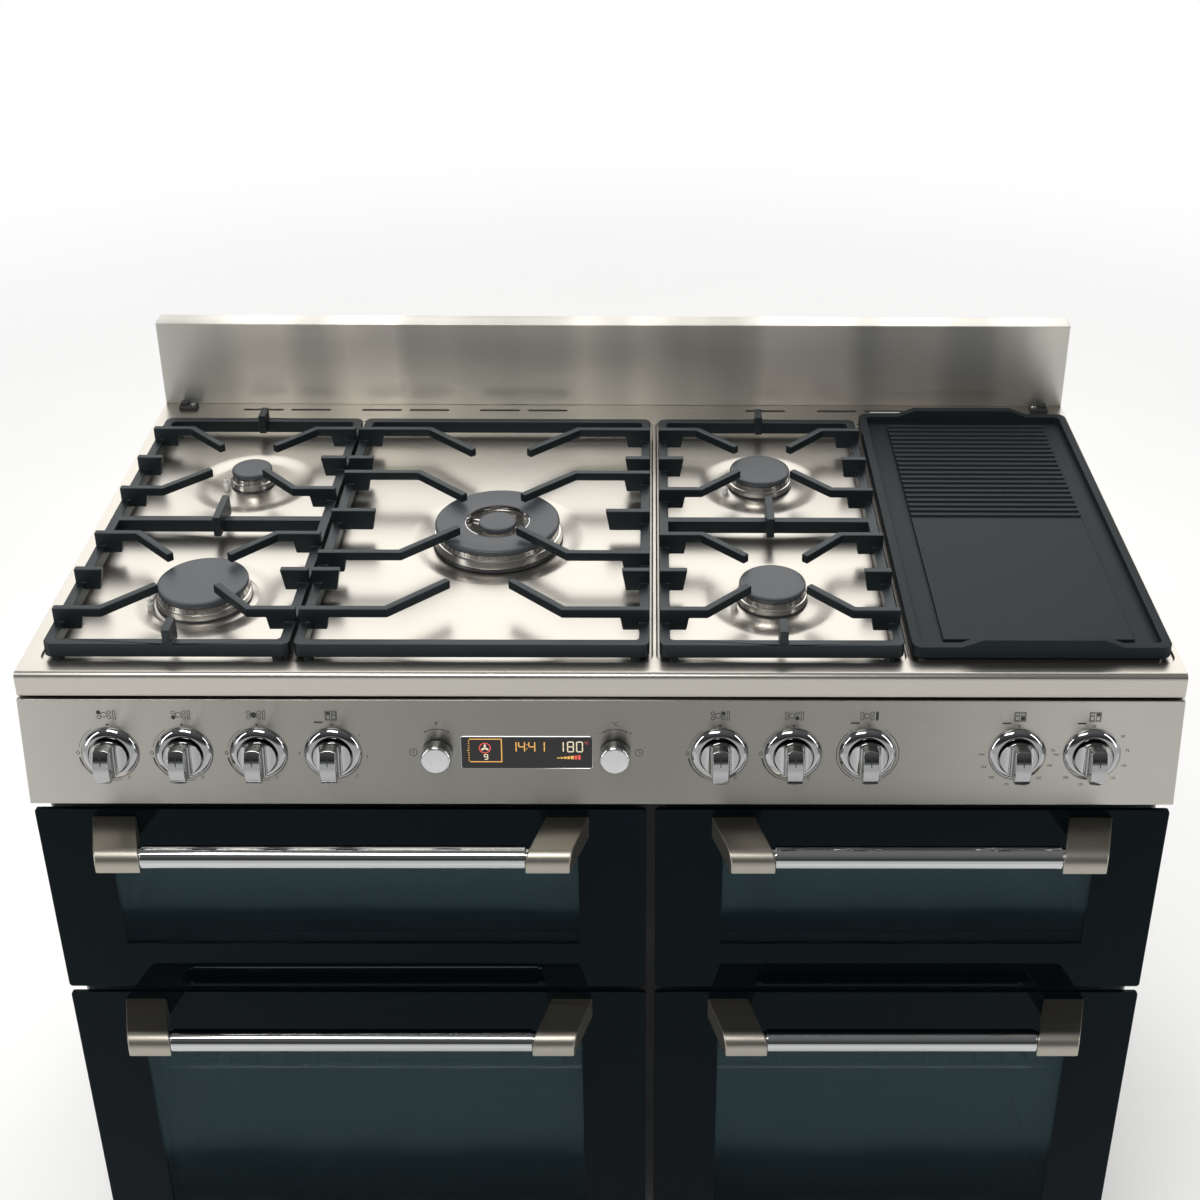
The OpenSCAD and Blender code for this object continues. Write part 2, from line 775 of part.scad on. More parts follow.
module griddle_plate() {
  x0 = griddle_x0;
  x1 = griddle_x0 + plate_w;
  y0 = griddle_y0;
  y1 = griddle_y0 + plate_len;
  cx = (x0 + x1) / 2;
  in = rim_w + channel_w;
  rib_pitch = rib_len / rib_n;
  ribs_y1 = y1 - ribs_rear;
  color("#25282c") placed() translate([0, 0, hob_h]) {
    difference() {
      rounded_block(x0, x1, y0, y1, griddle_low, rim_top, griddle_r);
      rounded_block(x0 + rim_w, x1 - rim_w, y0 + rim_w, y1 - rim_w, griddle_floor,
        rim_top + cut, griddle_r / 2);
    }
    block(x0 + in, x1 - in, y0 + ribs_front, ribs_y1, griddle_floor - eps, griddle_face);
    for (i = [0:rib_n - 1])
      block(x0 + in, x1 - in, ribs_y1 - (i + 0.5) * rib_pitch, ribs_y1 - i * rib_pitch,
        griddle_face - eps, griddle_face + rib_h);
    for (y = [y0, y1 - rim_w]) lip(cx, y);
    for (x = [x0 + griddle_pad_in, x1 - griddle_pad_in], y = [y0 + griddle_pad_in, y1 - griddle_pad_in])
      translate([x, y, seat]) cylinder(h = griddle_low, r = griddle_pad_r);
  }
}

module lip(cx, y) {
  along(y, y + rim_w) polygon([[cx - lip_l / 2 - lip_slope, rim_top - eps],
    [cx - lip_l / 2, rim_top + lip_rise], [cx + lip_l / 2, rim_top + lip_rise],
    [cx + lip_l / 2 + lip_slope, rim_top - eps]]);
}

// ---- control panel ----

module control_panel() {
  face = sheet / cos(panel_tilt);
  y_top = -panel_proud;
  y_low = y_top - panel_out;
  slope = tan(panel_tilt);
  color("silver") placed() difference() {
    across(-half, half) polygon([[y_top, panel_z1], [carcass_y, panel_z1],
      [carcass_y, panel_z0], [y_low, panel_z0]]);
    across(-inner, inner) polygon([[y_top + face - slope * sheet, panel_z1 - sheet],
      [carcass_y + 1, panel_z1 - sheet], [carcass_y + 1, panel_z0 + sheet],
      [y_low + face + slope * sheet, panel_z0 + sheet]]);
    for (x = all_knobs) on_panel(x, knob_down) panel_hole();
    for (x = encoders) on_panel(x, encoder_down) panel_hole();
    on_panel(display_x, encoder_down) translate([-display_w / 2, -display_h / 2, -sheet - cut])
      cube([display_w, display_h, sheet + 2 * cut]);
  }
}

module panel_hole() {
  translate([0, 0, -sheet - cut]) cylinder(h = sheet + 2 * cut, r = spindle_hole_r);
}

module programmer_display() {
  body_d = 20;
  board_w = encoders[1] - encoders[0] + 2 * encoder_r;
  bush_r = 5.5;
  bush_l = body_d - sheet - 0.2;
  glass_proud = 0.4;
  w = display_w - 2 * run;
  h = display_h - 2 * run;
  color("black") placed() {
    on_panel(display_x, encoder_down) {
      translate([-w / 2, -h / 2, -body_d]) cube([w, h, body_d + glass_proud]);
      translate([-board_w / 2, -h / 2, -body_d - sheet]) cube([board_w, h, sheet + eps]);
    }
    for (x = encoders) on_panel(x, encoder_down) difference() {
      translate([0, 0, -body_d - eps]) cylinder(h = bush_l, r = bush_r);
      translate([0, 0, -body_d + sheet]) cylinder(h = body_d, r = shaft_r + run);
    }
  }
}

module knob_bezels() {
  color("silver") placed() for (x = all_knobs) on_panel(x, knob_down) bezel();
}

module bezel() {
  edge_h = 1.5;
  land_w = 1.2;
  across_w = bezel_r - bezel_hole_r - land_w;
  curve = [for (a = [0:15:90]) [bezel_r - across_w * (1 - cos(a)),
    edge_h + (bezel_top - edge_h) * sin(a)]];
  rotate_extrude() polygon(concat([[bezel_hole_r, 0], [bezel_r, 0]], curve,
    [[bezel_hole_r, bezel_top]]));
}

// Round barrel whose upper half is scooped away on both sides of a grip blade
module grip_knob(bore_r, bore_h) {
  shoulder = knob_h / 2;
  face_r = 30;
  scoop_r = 9;
  scoop_deep = 2;
  color("silver") difference() {
    union() {
      translate([0, 0, knob_low]) cylinder(h = shoulder - knob_low, r = knob_r);
      intersection() {
        cylinder(h = knob_h, r = knob_r);
        translate([-grip_w / 2, -knob_r, shoulder - 1]) cube([grip_w, 2 * knob_r, knob_h]);
        translate([-knob_r, 0, knob_h - face_r]) rotate([0, 90, 0])
          cylinder(h = 2 * knob_r, r = face_r, $fn = 96);
      }
    }
    for (s = [-1, 1]) translate([s * (grip_w / 2 + scoop_r), knob_r + cut, shoulder + scoop_deep])
      rotate([90, 0, 0]) cylinder(h = 2 * (knob_r + cut), r = scoop_r);
    if (bore_h > 0) translate([0, 0, -cut]) cylinder(h = bore_h + cut, r = bore_r);
  }
}

module gas_spindle(i) {
  color("darkgray") placed() on_panel(gas_knobs[i], knob_down)
    translate([0, 0, -spindle_in]) cylinder(h = spindle_in + spindle_top, r = spindle_r);
}

module gas_knob(i) {
  placed() on_panel(gas_knobs[i], knob_down) grip_knob(spindle_r + run / 2, spindle_top + seat);
}

module oven_knob(i) {
  placed() on_panel(oven_knobs[i], knob_down) {
    grip_knob(0, 0);
    color("silver") translate([0, 0, -shaft_in]) cylinder(h = shaft_in + knob_low + cut, r = shaft_r);
  }
}

module encoder_shaft(i) {
  color("darkgray") placed() on_panel(encoders[i], encoder_down)
    translate([0, 0, -encoder_in])
      cylinder(h = encoder_in + encoder_h - encoder_wall - seat, r = shaft_r);
}

module encoder_knob(i) {
  low = 2.5;
  edge = encoder_h - 2.5;
  color("silver") placed() on_panel(encoders[i], encoder_down) difference() {
    rotate_extrude() polygon([[0, low], [encoder_r, low], [encoder_r, edge],
      [encoder_r - 1.5, edge + 1.5], [encoder_r - 4, encoder_h - 0.4], [0, encoder_h]]);
    translate([0, 0, -cut]) cylinder(h = encoder_h - encoder_wall + cut, r = shaft_r + run / 2);
  }
}

module taps_and_thermostats() {
  thread_l = 21;
  color("darkgoldenrod") placed() {
    for (x = gas_knobs) on_panel(x, knob_down) difference() {
      union() {
        translate([-valve_w / 2, -valve_w / 2, -valve_l - sheet])
          cube([valve_w, valve_w, valve_l - 2 * valve_clear + sheet]);
        translate([0, 0, -valve_l]) cylinder(h = valve_l - sheet, r = neck_r);
      }
      translate([0, 0, -spindle_in - push - gap]) cylinder(h = valve_l, r = spindle_r + run);
    }
    translate([gas_x, pipe_y(), pipe_z()]) rotate([0, 90, 0])
      cylinder(h = gas_knobs[4] + valve_w - gas_x, r = rail_pipe_r);
    feed_pipe(rail_pipe_r - 1);
    translate([gas_x, hob_rear - thread_l, pipe_z()]) rotate([-90, 0, 0])
      cylinder(h = thread_l, r = gas_r);
    for (x = oven_knobs) on_panel(x, knob_down) difference() {
      union() {
        translate([-thermostat_w / 2, -thermostat_w / 2, -thermostat_l])
          cube([thermostat_w, thermostat_w, thermostat_l - valve_clear]);
        translate([0, 0, -thermostat_l]) cylinder(h = thermostat_l - sheet, r = neck_r);
      }
      translate([0, 0, -shaft_in - gap]) cylinder(h = thermostat_l, r = shaft_r + run);
    }
  }
}

module feed_pipe(r) {
  translate([gas_x, pipe_y(), pipe_z()]) rotate([-90, 0, 0])
    cylinder(h = depth - 10 - pipe_y(), r = r);
}

// ---- ovens ----

// Top of the ledges: high in the upper ovens, a little above the middle in the lower ones
function shelf_z(d) = d[2] == upper_z0 ? d[3] - shelf_drop : (d[2] + d[3]) / 2 + 23;
function fan_x(d) = (d[0] + d[1]) / 2;
function fan_z(d) = d[2] + oven_up + fan_up;

// Five walls welded along their edges, with a ledge for the shelf on both side walls
module oven_box(d, fan) {
  x0 = d[0] + oven_in;
  x1 = d[1] - oven_in;
  z0 = d[2] + oven_up;
  z1 = d[3] - oven_down;
  lead_z = fan ? fan_z(d) + lead_up : z1 - grill_drop;
  for (z = [z0 - oven_t, z1]) block(x0 - oven_t, x1 + oven_t, oven_y0, oven_y1 + oven_t, z, z + oven_t);
  side_wall(x0 - oven_t, x0 - eps, d, z0 + weld, z1 - weld);
  side_wall(x1, x1 - ledge_w, d, z0 + weld, z1 - weld);
  difference() {
    block(x0 + weld, x1 - weld, oven_y1, oven_y1 + oven_t, z0 + weld, z1 - weld);
    if (fan) rear_hole(fan_x(d), fan_z(d), fan_hole_r);
    for (s = [-1, 1]) rear_hole(fan_x(d) + s * lead_x, lead_z, element_r + gap / 2);
  }
}

module side_wall(wall_x, ledge_x, d, z0, z1) {
  block(wall_x, wall_x + oven_t, oven_y0, oven_y1 + oven_t, z0, z1);
  block(ledge_x, ledge_x + ledge_w + eps, oven_y0 + shelf_front - ledge_past,
    oven_y1 - shelf_rear + ledge_past, shelf_z(d) - ledge_h, shelf_z(d));
}

module rear_hole(x, z, r) {
  translate([x, oven_y1 - cut, z]) rotate([-90, 0, 0]) cylinder(h = oven_t + 2 * cut, r = r);
}

module oven_cavities() {
  color("#3a3f44") placed() {
    oven_box(grill, false);
    oven_box(main_oven, true);
    oven_box(small_oven, false);
    oven_box(tall_oven, true);
  }
}

module door_seals() {
  color("dimgray") placed() for (d = doors) difference() {
    seal_block(d, seal_w + 2);
    seal_block(d, 2);
  }
}

module seal_block(d, out) {
  past = out < seal_w ? 1 : 0;
  along(door_y1 + seat - past, carcass_y + past)
    rounded(d[0] + oven_in - out, d[1] - oven_in + out, d[2] + oven_up - out,
      d[3] - oven_down + out, 10 + out);
}

module oven_shelves() {
  color("silver") placed() for (d = doors) shelf(d);
}

module shelf(d) {
  x0 = d[0] + oven_in + shelf_gap;
  x1 = d[1] - oven_in - shelf_gap;
  y0 = oven_y0 + shelf_front;
  y1 = oven_y1 - shelf_rear;
  r = rod_d / 2;
  translate([0, 0, shelf_z(d) + r + seat]) {
    for (y = [y0 + r, y1 - r]) translate([x0, y, 0]) rotate([0, 90, 0]) rod(x1 - x0, r);
    for (x = [x0 + r, x1 - r]) translate([x, y0, 0]) rotate([-90, 0, 0]) rod(y1 - y0, r);
    for (i = [1:wire_n]) translate([x0 + (x1 - x0) * i / (wire_n + 1), y0 + 1, 0])
      rotate([-90, 0, 0]) rod(y1 - y0 - 2, wire_d / 2);
  }
}

module rod(l, r) {
  cylinder(h = l, r = r, $fn = 8);
}

module heating_elements() {
  color("#5a5046") placed() {
    for (d = [main_oven, tall_oven]) ring_element(d);
    for (d = [grill, small_oven]) grill_element(d);
    hot_zone_heater();
  }
}

// Ring round a fan, with two straight leads out through the oven's rear wall
module ring_element(d) {
  y = oven_y1 - 12;
  lead_l = 30;
  translate([fan_x(d), y, fan_z(d)]) rotate([90, 0, 0]) rotate_extrude() translate([ring_r, 0])
    circle(element_r, $fn = 16);
  for (s = [-1, 1]) sheath(fan_x(d) + s * lead_x, y, y + lead_l, fan_z(d) + lead_up);
}

// Flat coil under an oven's ceiling: three runs each side of the middle
module grill_element(d) {
  z = d[3] - oven_down - grill_drop;
  pitch = 40;
  turn_r = pitch / 2;
  near = oven_y0 + 50;
  far = oven_y1 - 60;
  lead_end = oven_y1 + 30;
  for (s = [-1, 1]) {
    sheath(fan_x(d) + s * lead_x, near, lead_end, z);
    for (i = [1, 2]) sheath(fan_x(d) + s * (lead_x + i * pitch), near, far, z);
    translate([fan_x(d) + s * (lead_x + turn_r), near, z]) half_turn(turn_r, 180);
    translate([fan_x(d) + s * (lead_x + 3 * turn_r), far, z]) half_turn(turn_r, 0);
  }
  translate([fan_x(d) - lead_x - 2 * pitch, near, z]) rotate([0, 90, 0])
    cylinder(h = 2 * (lead_x + 2 * pitch), r = element_r, $fn = 16);
}

module sheath(x, y0, y1, z) {
  translate([x, y0, z]) rotate([-90, 0, 0]) cylinder(h = y1 - y0, r = element_r, $fn = 16);
}

module half_turn(turn_r, a) {
  rotate([0, 0, a]) rotate_extrude(angle = 180) translate([turn_r, 0]) circle(element_r, $fn = 16);
}

module hot_zone_heater() {
  w = well_x[2];
  in = hot_cut_in + 8;
  heater_h = 22;
  heater_r = 30;
  rounded_block(w[0] + in, w[1] - in, well_front + in, well_end - in, floor_z - heater_h,
    floor_z - eps, heater_r);
}

module fan_covers() {
  color("#4a4f54") placed() for (d = [main_oven, tall_oven]) fan_cover(d);
}

// Open box against the oven's rear wall, with a ring of holes in front of the fan
module fan_cover(d) {
  y0 = oven_y1 - fan_space;
  x0 = fan_x(d) - cover_half;
  x1 = fan_x(d) + cover_half;
  z0 = d[2] + oven_up + cover_low;
  z1 = fan_z(d) + cover_up;
  ring = fan_r * 0.55;
  difference() {
    block(x0, x1, y0, oven_y1, z0, z1);
    block(x0 + cover_t, x1 - cover_t, y0 + cover_t, oven_y1 + cut, z0 + cover_t, z1 - cover_t);
    translate([fan_x(d), y0 - cut, fan_z(d)]) rotate([-90, 0, 0]) {
      cylinder(h = cover_t + 2 * cut, r = cover_hole_r);
      for (a = [0:30:330]) rotate([0, 0, a]) translate([ring, 0, 0])
        cylinder(h = cover_t + 2 * cut, r = cover_hole_r);
    }
  }
}

module fan_motors() {
  color("gray") placed() for (d = [main_oven, tall_oven])
    translate([fan_x(d), oven_y1 + oven_t, fan_z(d)]) rotate([-90, 0, 0]) difference() {
      cylinder(h = motor_l, r = motor_r);
      translate([0, 0, -cut]) cylinder(h = motor_bore_l + cut, r = shaft_r + run);
    }
}

// Bladed wheel on a shaft that ends in its motor's bore
module oven_fan(d) {
  blade_w = 16;
  blade_n = 8;
  blade_t = 1.5;
  blade_x0 = 20;
  hub_r = 9;
  hub_in = 26;
  disc_r = fan_r - 6;
  shaft_l = hub_in + oven_t + motor_bore_l - 2;
  color("silver") placed() translate([fan_x(d), oven_y1 - hub_in, fan_z(d)]) rotate([-90, 0, 0]) {
    cylinder(h = blade_w, r = hub_r);
    cylinder(h = blade_t, r = disc_r);
    for (i = [0:blade_n - 1]) rotate([0, 0, i * 360 / blade_n])
      translate([blade_x0, -blade_t / 2, 0]) cube([fan_r - blade_x0, blade_t, blade_w]);
    cylinder(h = shaft_l, r = shaft_r);
  }
}

// ---- doors ----

module door_glass(d) {
  lap = 12;
  color([0.05, 0.09, 0.11, 0.6]) placed() {
    along(door_y0, door_y0 + glass_t) rounded(d[0], d[1], d[2], d[3], door_r);
    along(door_y1 - sheet - glass_t, door_y1 - sheet)
      rounded(d[0] + window_margin - lap, d[1] - window_margin + lap, d[2] + window_up - lap,
        d[3] - window_down + lap, door_r);
  }
}

module door_liner(d) {
  x0 = d[0] + liner_in;
  x1 = d[1] - liner_in;
  y0 = door_y0 + glass_t;
  z0 = d[2] + liner_low;
  z1 = d[3] - liner_in;
  color("darkgray") placed() {
    difference() {
      block(x0, x1, y0, door_y1, z0, z1);
      block(x0 + sheet, x1 - sheet, y0 - 1, door_y1 - sheet, z0 + sheet, z1 - sheet);
      along(door_y0, door_y1 + 1) rounded(d[0] + window_margin, d[1] - window_margin,
        d[2] + window_up, d[3] - window_down, door_r);
      for (s = [-1, 1]) block(arm_x(d, s) - slot_w / 2, arm_x(d, s) + slot_w / 2,
        hinge_y - eye_r - gap, door_y1 + 1, z0 - 1, d[2] + hinge_up + eye_r + gap);
    }
    block(x0, x1, y0, y0 + sheet * 2, d[2] + 3, z0 + eps);
    for (s = [-1, 1]) hinge_ears(d, s, y0, z0);
  }
}

module hinge_ears(d, s, y0, z0) {
  x = arm_x(d, s);
  for (e = [x - slot_w / 2 - ear_w, x + slot_w / 2])
    block(e, e + ear_w, y0, door_y1 - sheet + eps, z0, d[2] + hinge_up + eye_r + gap);
  translate([x - slot_w / 2 - ear_w / 2, hinge_y, d[2] + hinge_up]) rotate([0, 90, 0])
    cylinder(h = slot_w + ear_w, r = pin_r);
}

// Bracket outline seen from the side: distance ahead of the door, height
module bracket_side(d) {
  z = d[3] - bracket_drop;
  n = handle_reach;
  polygon(concat([[door_y0, z]], arc(door_y0 - n + bracket_nose_r, z - bracket_nose_r,
    bracket_nose_r, 90, 180, 8), [[door_y0 - n, z - bracket_nose_h],
    [door_y0 - n + 16, z - bracket_nose_h - 1.5], [door_y0, z - bracket_foot_h]]));
}

function bracket_x(d, s) = s > 0 ? d[1] - bracket_in : d[0] + bracket_in;

module bracket(d, s) {
  x = bracket_x(d, s);
  z = d[3] - bracket_drop;
  w = -s * bracket_w;
  k = -s * bracket_slant;
  intersection() {
    across(min(x, x + w + k) - 1, max(x, x + w + k) + 1) bracket_side(d);
    translate([0, 0, z - 40]) linear_extrude(50) polygon([[x, door_y0], [x + w, door_y0],
      [x + w + k, door_y0 - handle_reach], [x + k, door_y0 - handle_reach]]);
  }
}

function bar_x(d, s) = bracket_x(d, s) - s * (bracket_w * 0.6 + bracket_slant * bar_out / handle_reach);

module handle_rod(d, r, x0, x1) {
  translate([x0, door_y0 - bar_out, d[3] - bracket_drop - bar_drop]) rotate([0, 90, 0])
    cylinder(h = x1 - x0, r = r);
}

module door_brackets(d) {
  color("#9a968a") placed() difference() {
    for (s = [-1, 1]) bracket(d, s);
    handle_rod(d, bar_socket_r, bar_x(d, -1) - seat, bar_x(d, 1) + seat);
  }
}

module door_handle_bar(d) {
  edge = bracket_w + seat + bracket_slant * (bar_out + handle_r) / handle_reach;
  color("silver") placed() {
    handle_rod(d, handle_r, bracket_x(d, -1) + edge, bracket_x(d, 1) - edge);
    handle_rod(d, bar_fit_r, bar_x(d, -1), bar_x(d, 1));
  }
}

chassis_frame();
side_panels();
back_panel();
plinth();
feet();
hob_plate();
splashback();
control_panel();
programmer_display();
knob_bezels();
oven_cavities();
door_seals();
oven_shelves();
heating_elements();
fan_covers();
fan_motors();
burner_heads();
burner_caps();
hot_zone_glass();
taps_and_thermostats();
door_glass(grill);  // grill_door_glass
door_liner(grill);  // grill_door_liner
door_handle_bar(grill);  // grill_door_handle_bar
door_brackets(grill);  // grill_door_brackets
door_glass(main_oven);  // main_door_glass
door_liner(main_oven);  // main_door_liner
door_handle_bar(main_oven);  // main_door_handle_bar
door_brackets(main_oven);  // main_door_brackets
door_glass(small_oven);  // small_door_glass
door_liner(small_oven);  // small_door_liner
door_handle_bar(small_oven);  // small_door_handle_bar
door_brackets(small_oven);  // small_door_brackets
door_glass(tall_oven);  // tall_door_glass
door_liner(tall_oven);  // tall_door_liner
door_handle_bar(tall_oven);  // tall_door_handle_bar
door_brackets(tall_oven);  // tall_door_brackets
pan_support_left();
pan_support_middle();
pan_support_right();
griddle_plate();
gas_spindle(0);  // gas_spindle_rear_left
gas_knob(0);  // gas_knob_rear_left
gas_spindle(1);  // gas_spindle_front_left
gas_knob(1);  // gas_knob_front_left
gas_spindle(2);  // gas_spindle_wok
gas_knob(2);  // gas_knob_wok
gas_spindle(3);  // gas_spindle_rear_right
gas_knob(3);  // gas_knob_rear_right
gas_spindle(4);  // gas_spindle_front_right
gas_knob(4);  // gas_knob_front_right
oven_knob(0);  // grill_knob
oven_knob(1);  // hot_zone_knob
oven_knob(2);  // tall_oven_knob
oven_knob(3);  // small_oven_knob
encoder_shaft(0);  // program_shaft
encoder_knob(0);  // program_knob
encoder_shaft(1);  // temperature_shaft
encoder_knob(1);  // temperature_knob
oven_fan(main_oven);  // main_oven_fan
oven_fan(tall_oven);  // tall_oven_fan
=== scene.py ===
# %% [markdown]
# # Range cooker with a double oven
#
# A freestanding cooker, 1100 mm wide: a stainless hob with five gas burners and a cast
# griddle, a tilted panel of chrome knobs, and four drop-down doors in dark glass. The packed
# CAD model is the frame of this lesson. It gives every size and every moving body, and the
# pieces made here dress it. We work in metres, with the front facing -Y and +Z up.

import bpy
import bmesh
import json
from math import atan2, cos, degrees, pi, radians, sin, sqrt
from mathutils import Matrix, Vector


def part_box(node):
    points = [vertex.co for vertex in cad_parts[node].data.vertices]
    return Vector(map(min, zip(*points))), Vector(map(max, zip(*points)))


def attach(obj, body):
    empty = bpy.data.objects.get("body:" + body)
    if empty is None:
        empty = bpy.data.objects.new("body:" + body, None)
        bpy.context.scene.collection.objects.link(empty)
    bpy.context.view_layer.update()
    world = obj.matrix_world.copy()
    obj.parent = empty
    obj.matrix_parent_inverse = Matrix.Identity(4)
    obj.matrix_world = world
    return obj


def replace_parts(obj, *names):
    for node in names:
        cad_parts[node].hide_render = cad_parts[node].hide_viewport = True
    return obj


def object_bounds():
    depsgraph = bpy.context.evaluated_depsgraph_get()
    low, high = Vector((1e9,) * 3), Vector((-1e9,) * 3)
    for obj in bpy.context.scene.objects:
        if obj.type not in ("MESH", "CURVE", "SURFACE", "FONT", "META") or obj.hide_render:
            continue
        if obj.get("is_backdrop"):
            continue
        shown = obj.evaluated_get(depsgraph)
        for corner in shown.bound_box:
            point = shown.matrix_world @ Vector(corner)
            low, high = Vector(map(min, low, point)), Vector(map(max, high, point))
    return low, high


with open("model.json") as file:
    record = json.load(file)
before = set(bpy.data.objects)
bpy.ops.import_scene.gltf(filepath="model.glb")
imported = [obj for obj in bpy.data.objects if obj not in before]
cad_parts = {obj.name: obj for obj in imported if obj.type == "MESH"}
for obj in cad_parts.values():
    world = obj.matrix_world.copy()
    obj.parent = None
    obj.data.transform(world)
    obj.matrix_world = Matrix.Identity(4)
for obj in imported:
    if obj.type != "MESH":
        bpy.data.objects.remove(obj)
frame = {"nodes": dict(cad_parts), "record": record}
cad_low, cad_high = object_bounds()
MM = 0.001

# %% [markdown]
# ## The camera
#
# The photograph looks down on the hob from above the front edge, and its vertical lines stay
# nearly upright, so the real camera was shifted. A large shift would push the object out of
# every other view, because the shift stays with the camera. We keep the camera where it
# stood, give it a moderate shift, and turn it down to make up for the rest. The turn and the
# focal length below come from fitting that camera to the edges of the cooker.

# %% Camera
eye = Vector((0.04417, -1.60128, 1.83952))
turn, dip, roll = 0.0093394, 0.4730603, 0.0073360
lens_data = bpy.data.cameras.new("camera")
lens_data.sensor_width = 36
lens_data.lens = 51.876
lens_data.shift_x, lens_data.shift_y = -0.054023, -0.14
lens_data.clip_start = 0.05
camera = bpy.data.objects.new("camera", lens_data)
camera.matrix_world = (
    Matrix.Translation(eye)
    @ Matrix.Rotation(-turn, 4, "Z")
    @ Matrix.Rotation(pi / 2 - dip, 4, "X")
    @ Matrix.Rotation(roll, 4, "Z")
)
bpy.context.scene.collection.objects.link(camera)
bpy.context.scene.camera = camera
print("camera dips", round(degrees(dip), 1), "degrees")

# %% [markdown]
# ## Sizes that come back
#
# The hob's front edge is 265 mm ahead of the middle of the frame. Places on the cooker are
# easiest to read from that edge, so `place` takes millimetres from there. The control panel
# leans back by 7.2 degrees. `on_panel` gives the matrix of a spot on it: X runs right, Y up
# the slope and Z out of the panel. Each door is listed by its left, right, low and high edge.

# %% Places on the cooker
EDGE_Y = -265
HOB_Z = 900
TILT = radians(7.2)
PANEL_TOP = Vector((0, -3.6, 873.5))
DOORS = {
    "grill": (-550, 41, 520.79, 750.79),
    "main": (-550, 41, 108, 512.79),
    "small": (50, 550, 520.79, 750.79),
    "tall": (50, 550, 108, 512.79),
}


def place(x, y, z):
    return Vector((x, y + EDGE_Y, z)) * MM


def at(x, y, z):
    return Matrix.Translation(place(x, y, z))


def on_panel(x, down, up=0.0, right=0.0, out=0.0):
    spot = PANEL_TOP + Vector((x, -down * sin(TILT), -down * cos(TILT)))
    lean = Matrix.Rotation(pi / 2 - TILT, 4, "X")
    return at(*spot) @ lean @ Matrix.Translation(Vector((right, up, out)) * MM)


KNOB_DOWN = 57
print("knob axis at", [round(v, 4) for v in on_panel(0, KNOB_DOWN).translation])

# %% [markdown]
# ## Floor, backdrop and light
#
# Steel and chrome show what stands around them, so the studio matters as much as the
# material. A large soft light hangs behind and above the hob, where the camera's view
# bounces to, and makes the hob plate bright. A second one hangs over the front for the knobs
# and the panel. Two tall strips at the sides draw clean lines on round chrome. The room
# between them is grey, and only the camera sees it white.

# %% Studio
def soft_light(name, spot, target, width, height, power, tone=(1.0, 1.0, 1.0)):
    lamp = bpy.data.lights.new(name, "AREA")
    lamp.shape = "RECTANGLE"
    lamp.size, lamp.size_y = width, height
    lamp.energy = power
    lamp.color = tone
    lamp_object = bpy.data.objects.new(name, lamp)
    aim = (Vector(target) - Vector(spot)).to_track_quat("-Z", "Y")
    lamp_object.matrix_world = Matrix.Translation(spot) @ aim.to_matrix().to_4x4()
    bpy.context.scene.collection.objects.link(lamp_object)
    return lamp_object


soft_light("rear_softbox", (0.0, 1.9, 2.6), (0, 0.05, 0.9), 3.6, 2.3, 52, (1.0, 0.98, 0.955))
soft_light("front_softbox", (-0.5, -1.3, 3.0), (0, -0.2, 0.7), 1.3, 0.6, 26, (1.0, 0.985, 0.96))
soft_light("left_strip", (-2.3, -1.3, 1.5), (0, -0.2, 0.6), 0.4, 2.0, 15)
soft_light("right_strip", (2.4, -1.2, 1.5), (0, -0.2, 0.6), 0.4, 2.0, 13)

bpy.context.scene.view_settings.view_transform = "Standard"

# %% [markdown]
# ## Shader maths as Python expressions
#
# A finish is a small calculation over the surface. `Wire` holds one output socket, and
# adding or multiplying wires adds the Math nodes. The `node` method of a `Graph` makes any
# other node, settings first, then the values or wires of its sockets. `Finish` is the graph of
# a material.

# %% Wire, Graph and Finish
class Wire:
    def __init__(self, tree, socket):
        self.tree, self.socket = tree, socket

    def maths(self, operation, *terms):
        node = self.tree.nodes.new("ShaderNodeMath")
        node.operation = operation
        for slot, term in zip(node.inputs, terms):
            if isinstance(term, Wire):
                self.tree.links.new(term.socket, slot)
            else:
                slot.default_value = term
        return Wire(self.tree, node.outputs[0])

    def __add__(self, other):
        return self.maths("ADD", self, other)

    def __sub__(self, other):
        return self.maths("SUBTRACT", self, other)

    def __rsub__(self, other):
        return self.maths("SUBTRACT", other, self)

    def __mul__(self, other):
        return self.maths("MULTIPLY", self, other)

    def least(self, other):
        return self.maths("MINIMUM", self, other)

    def most(self, other):
        return self.maths("MAXIMUM", self, other)

    __radd__, __rmul__ = __add__, __mul__


class Graph:
    def __init__(self, tree):
        self.tree = tree

    def feed(self, slot, value):
        if isinstance(value, Wire):
            self.tree.links.new(value.socket, slot)
        elif slot.type == "RGBA":
            slot.default_value = (*value, 1.0)
        else:
            slot.default_value = value

    def node(self, kind, settings=None, inputs=None, out=0):
        made = self.tree.nodes.new("ShaderNode" + kind)
        for key, value in (settings or {}).items():
            if key == "stops":
                ramp = made.color_ramp
                while len(ramp.elements) < len(value):
                    ramp.elements.new(1.0)
                for element, (position, tone) in zip(ramp.elements, value):
                    element.position, element.color = position, (*tone, 1.0)
            else:
                setattr(made, key, value)
        for key, value in (inputs or {}).items():
            self.feed(made.inputs[key], value)
        return Wire(self.tree, made.outputs[out]) if made.outputs else None

    def between(self, factor, first, second):
        inputs = {0: factor, 6: first, 7: second}
        return self.node("Mix", {"data_type": "RGBA"}, inputs, out=2)

    def ramp(self, factor, *stops):
        return self.node("ValToRGB", {"stops": stops}, {"Fac": factor})


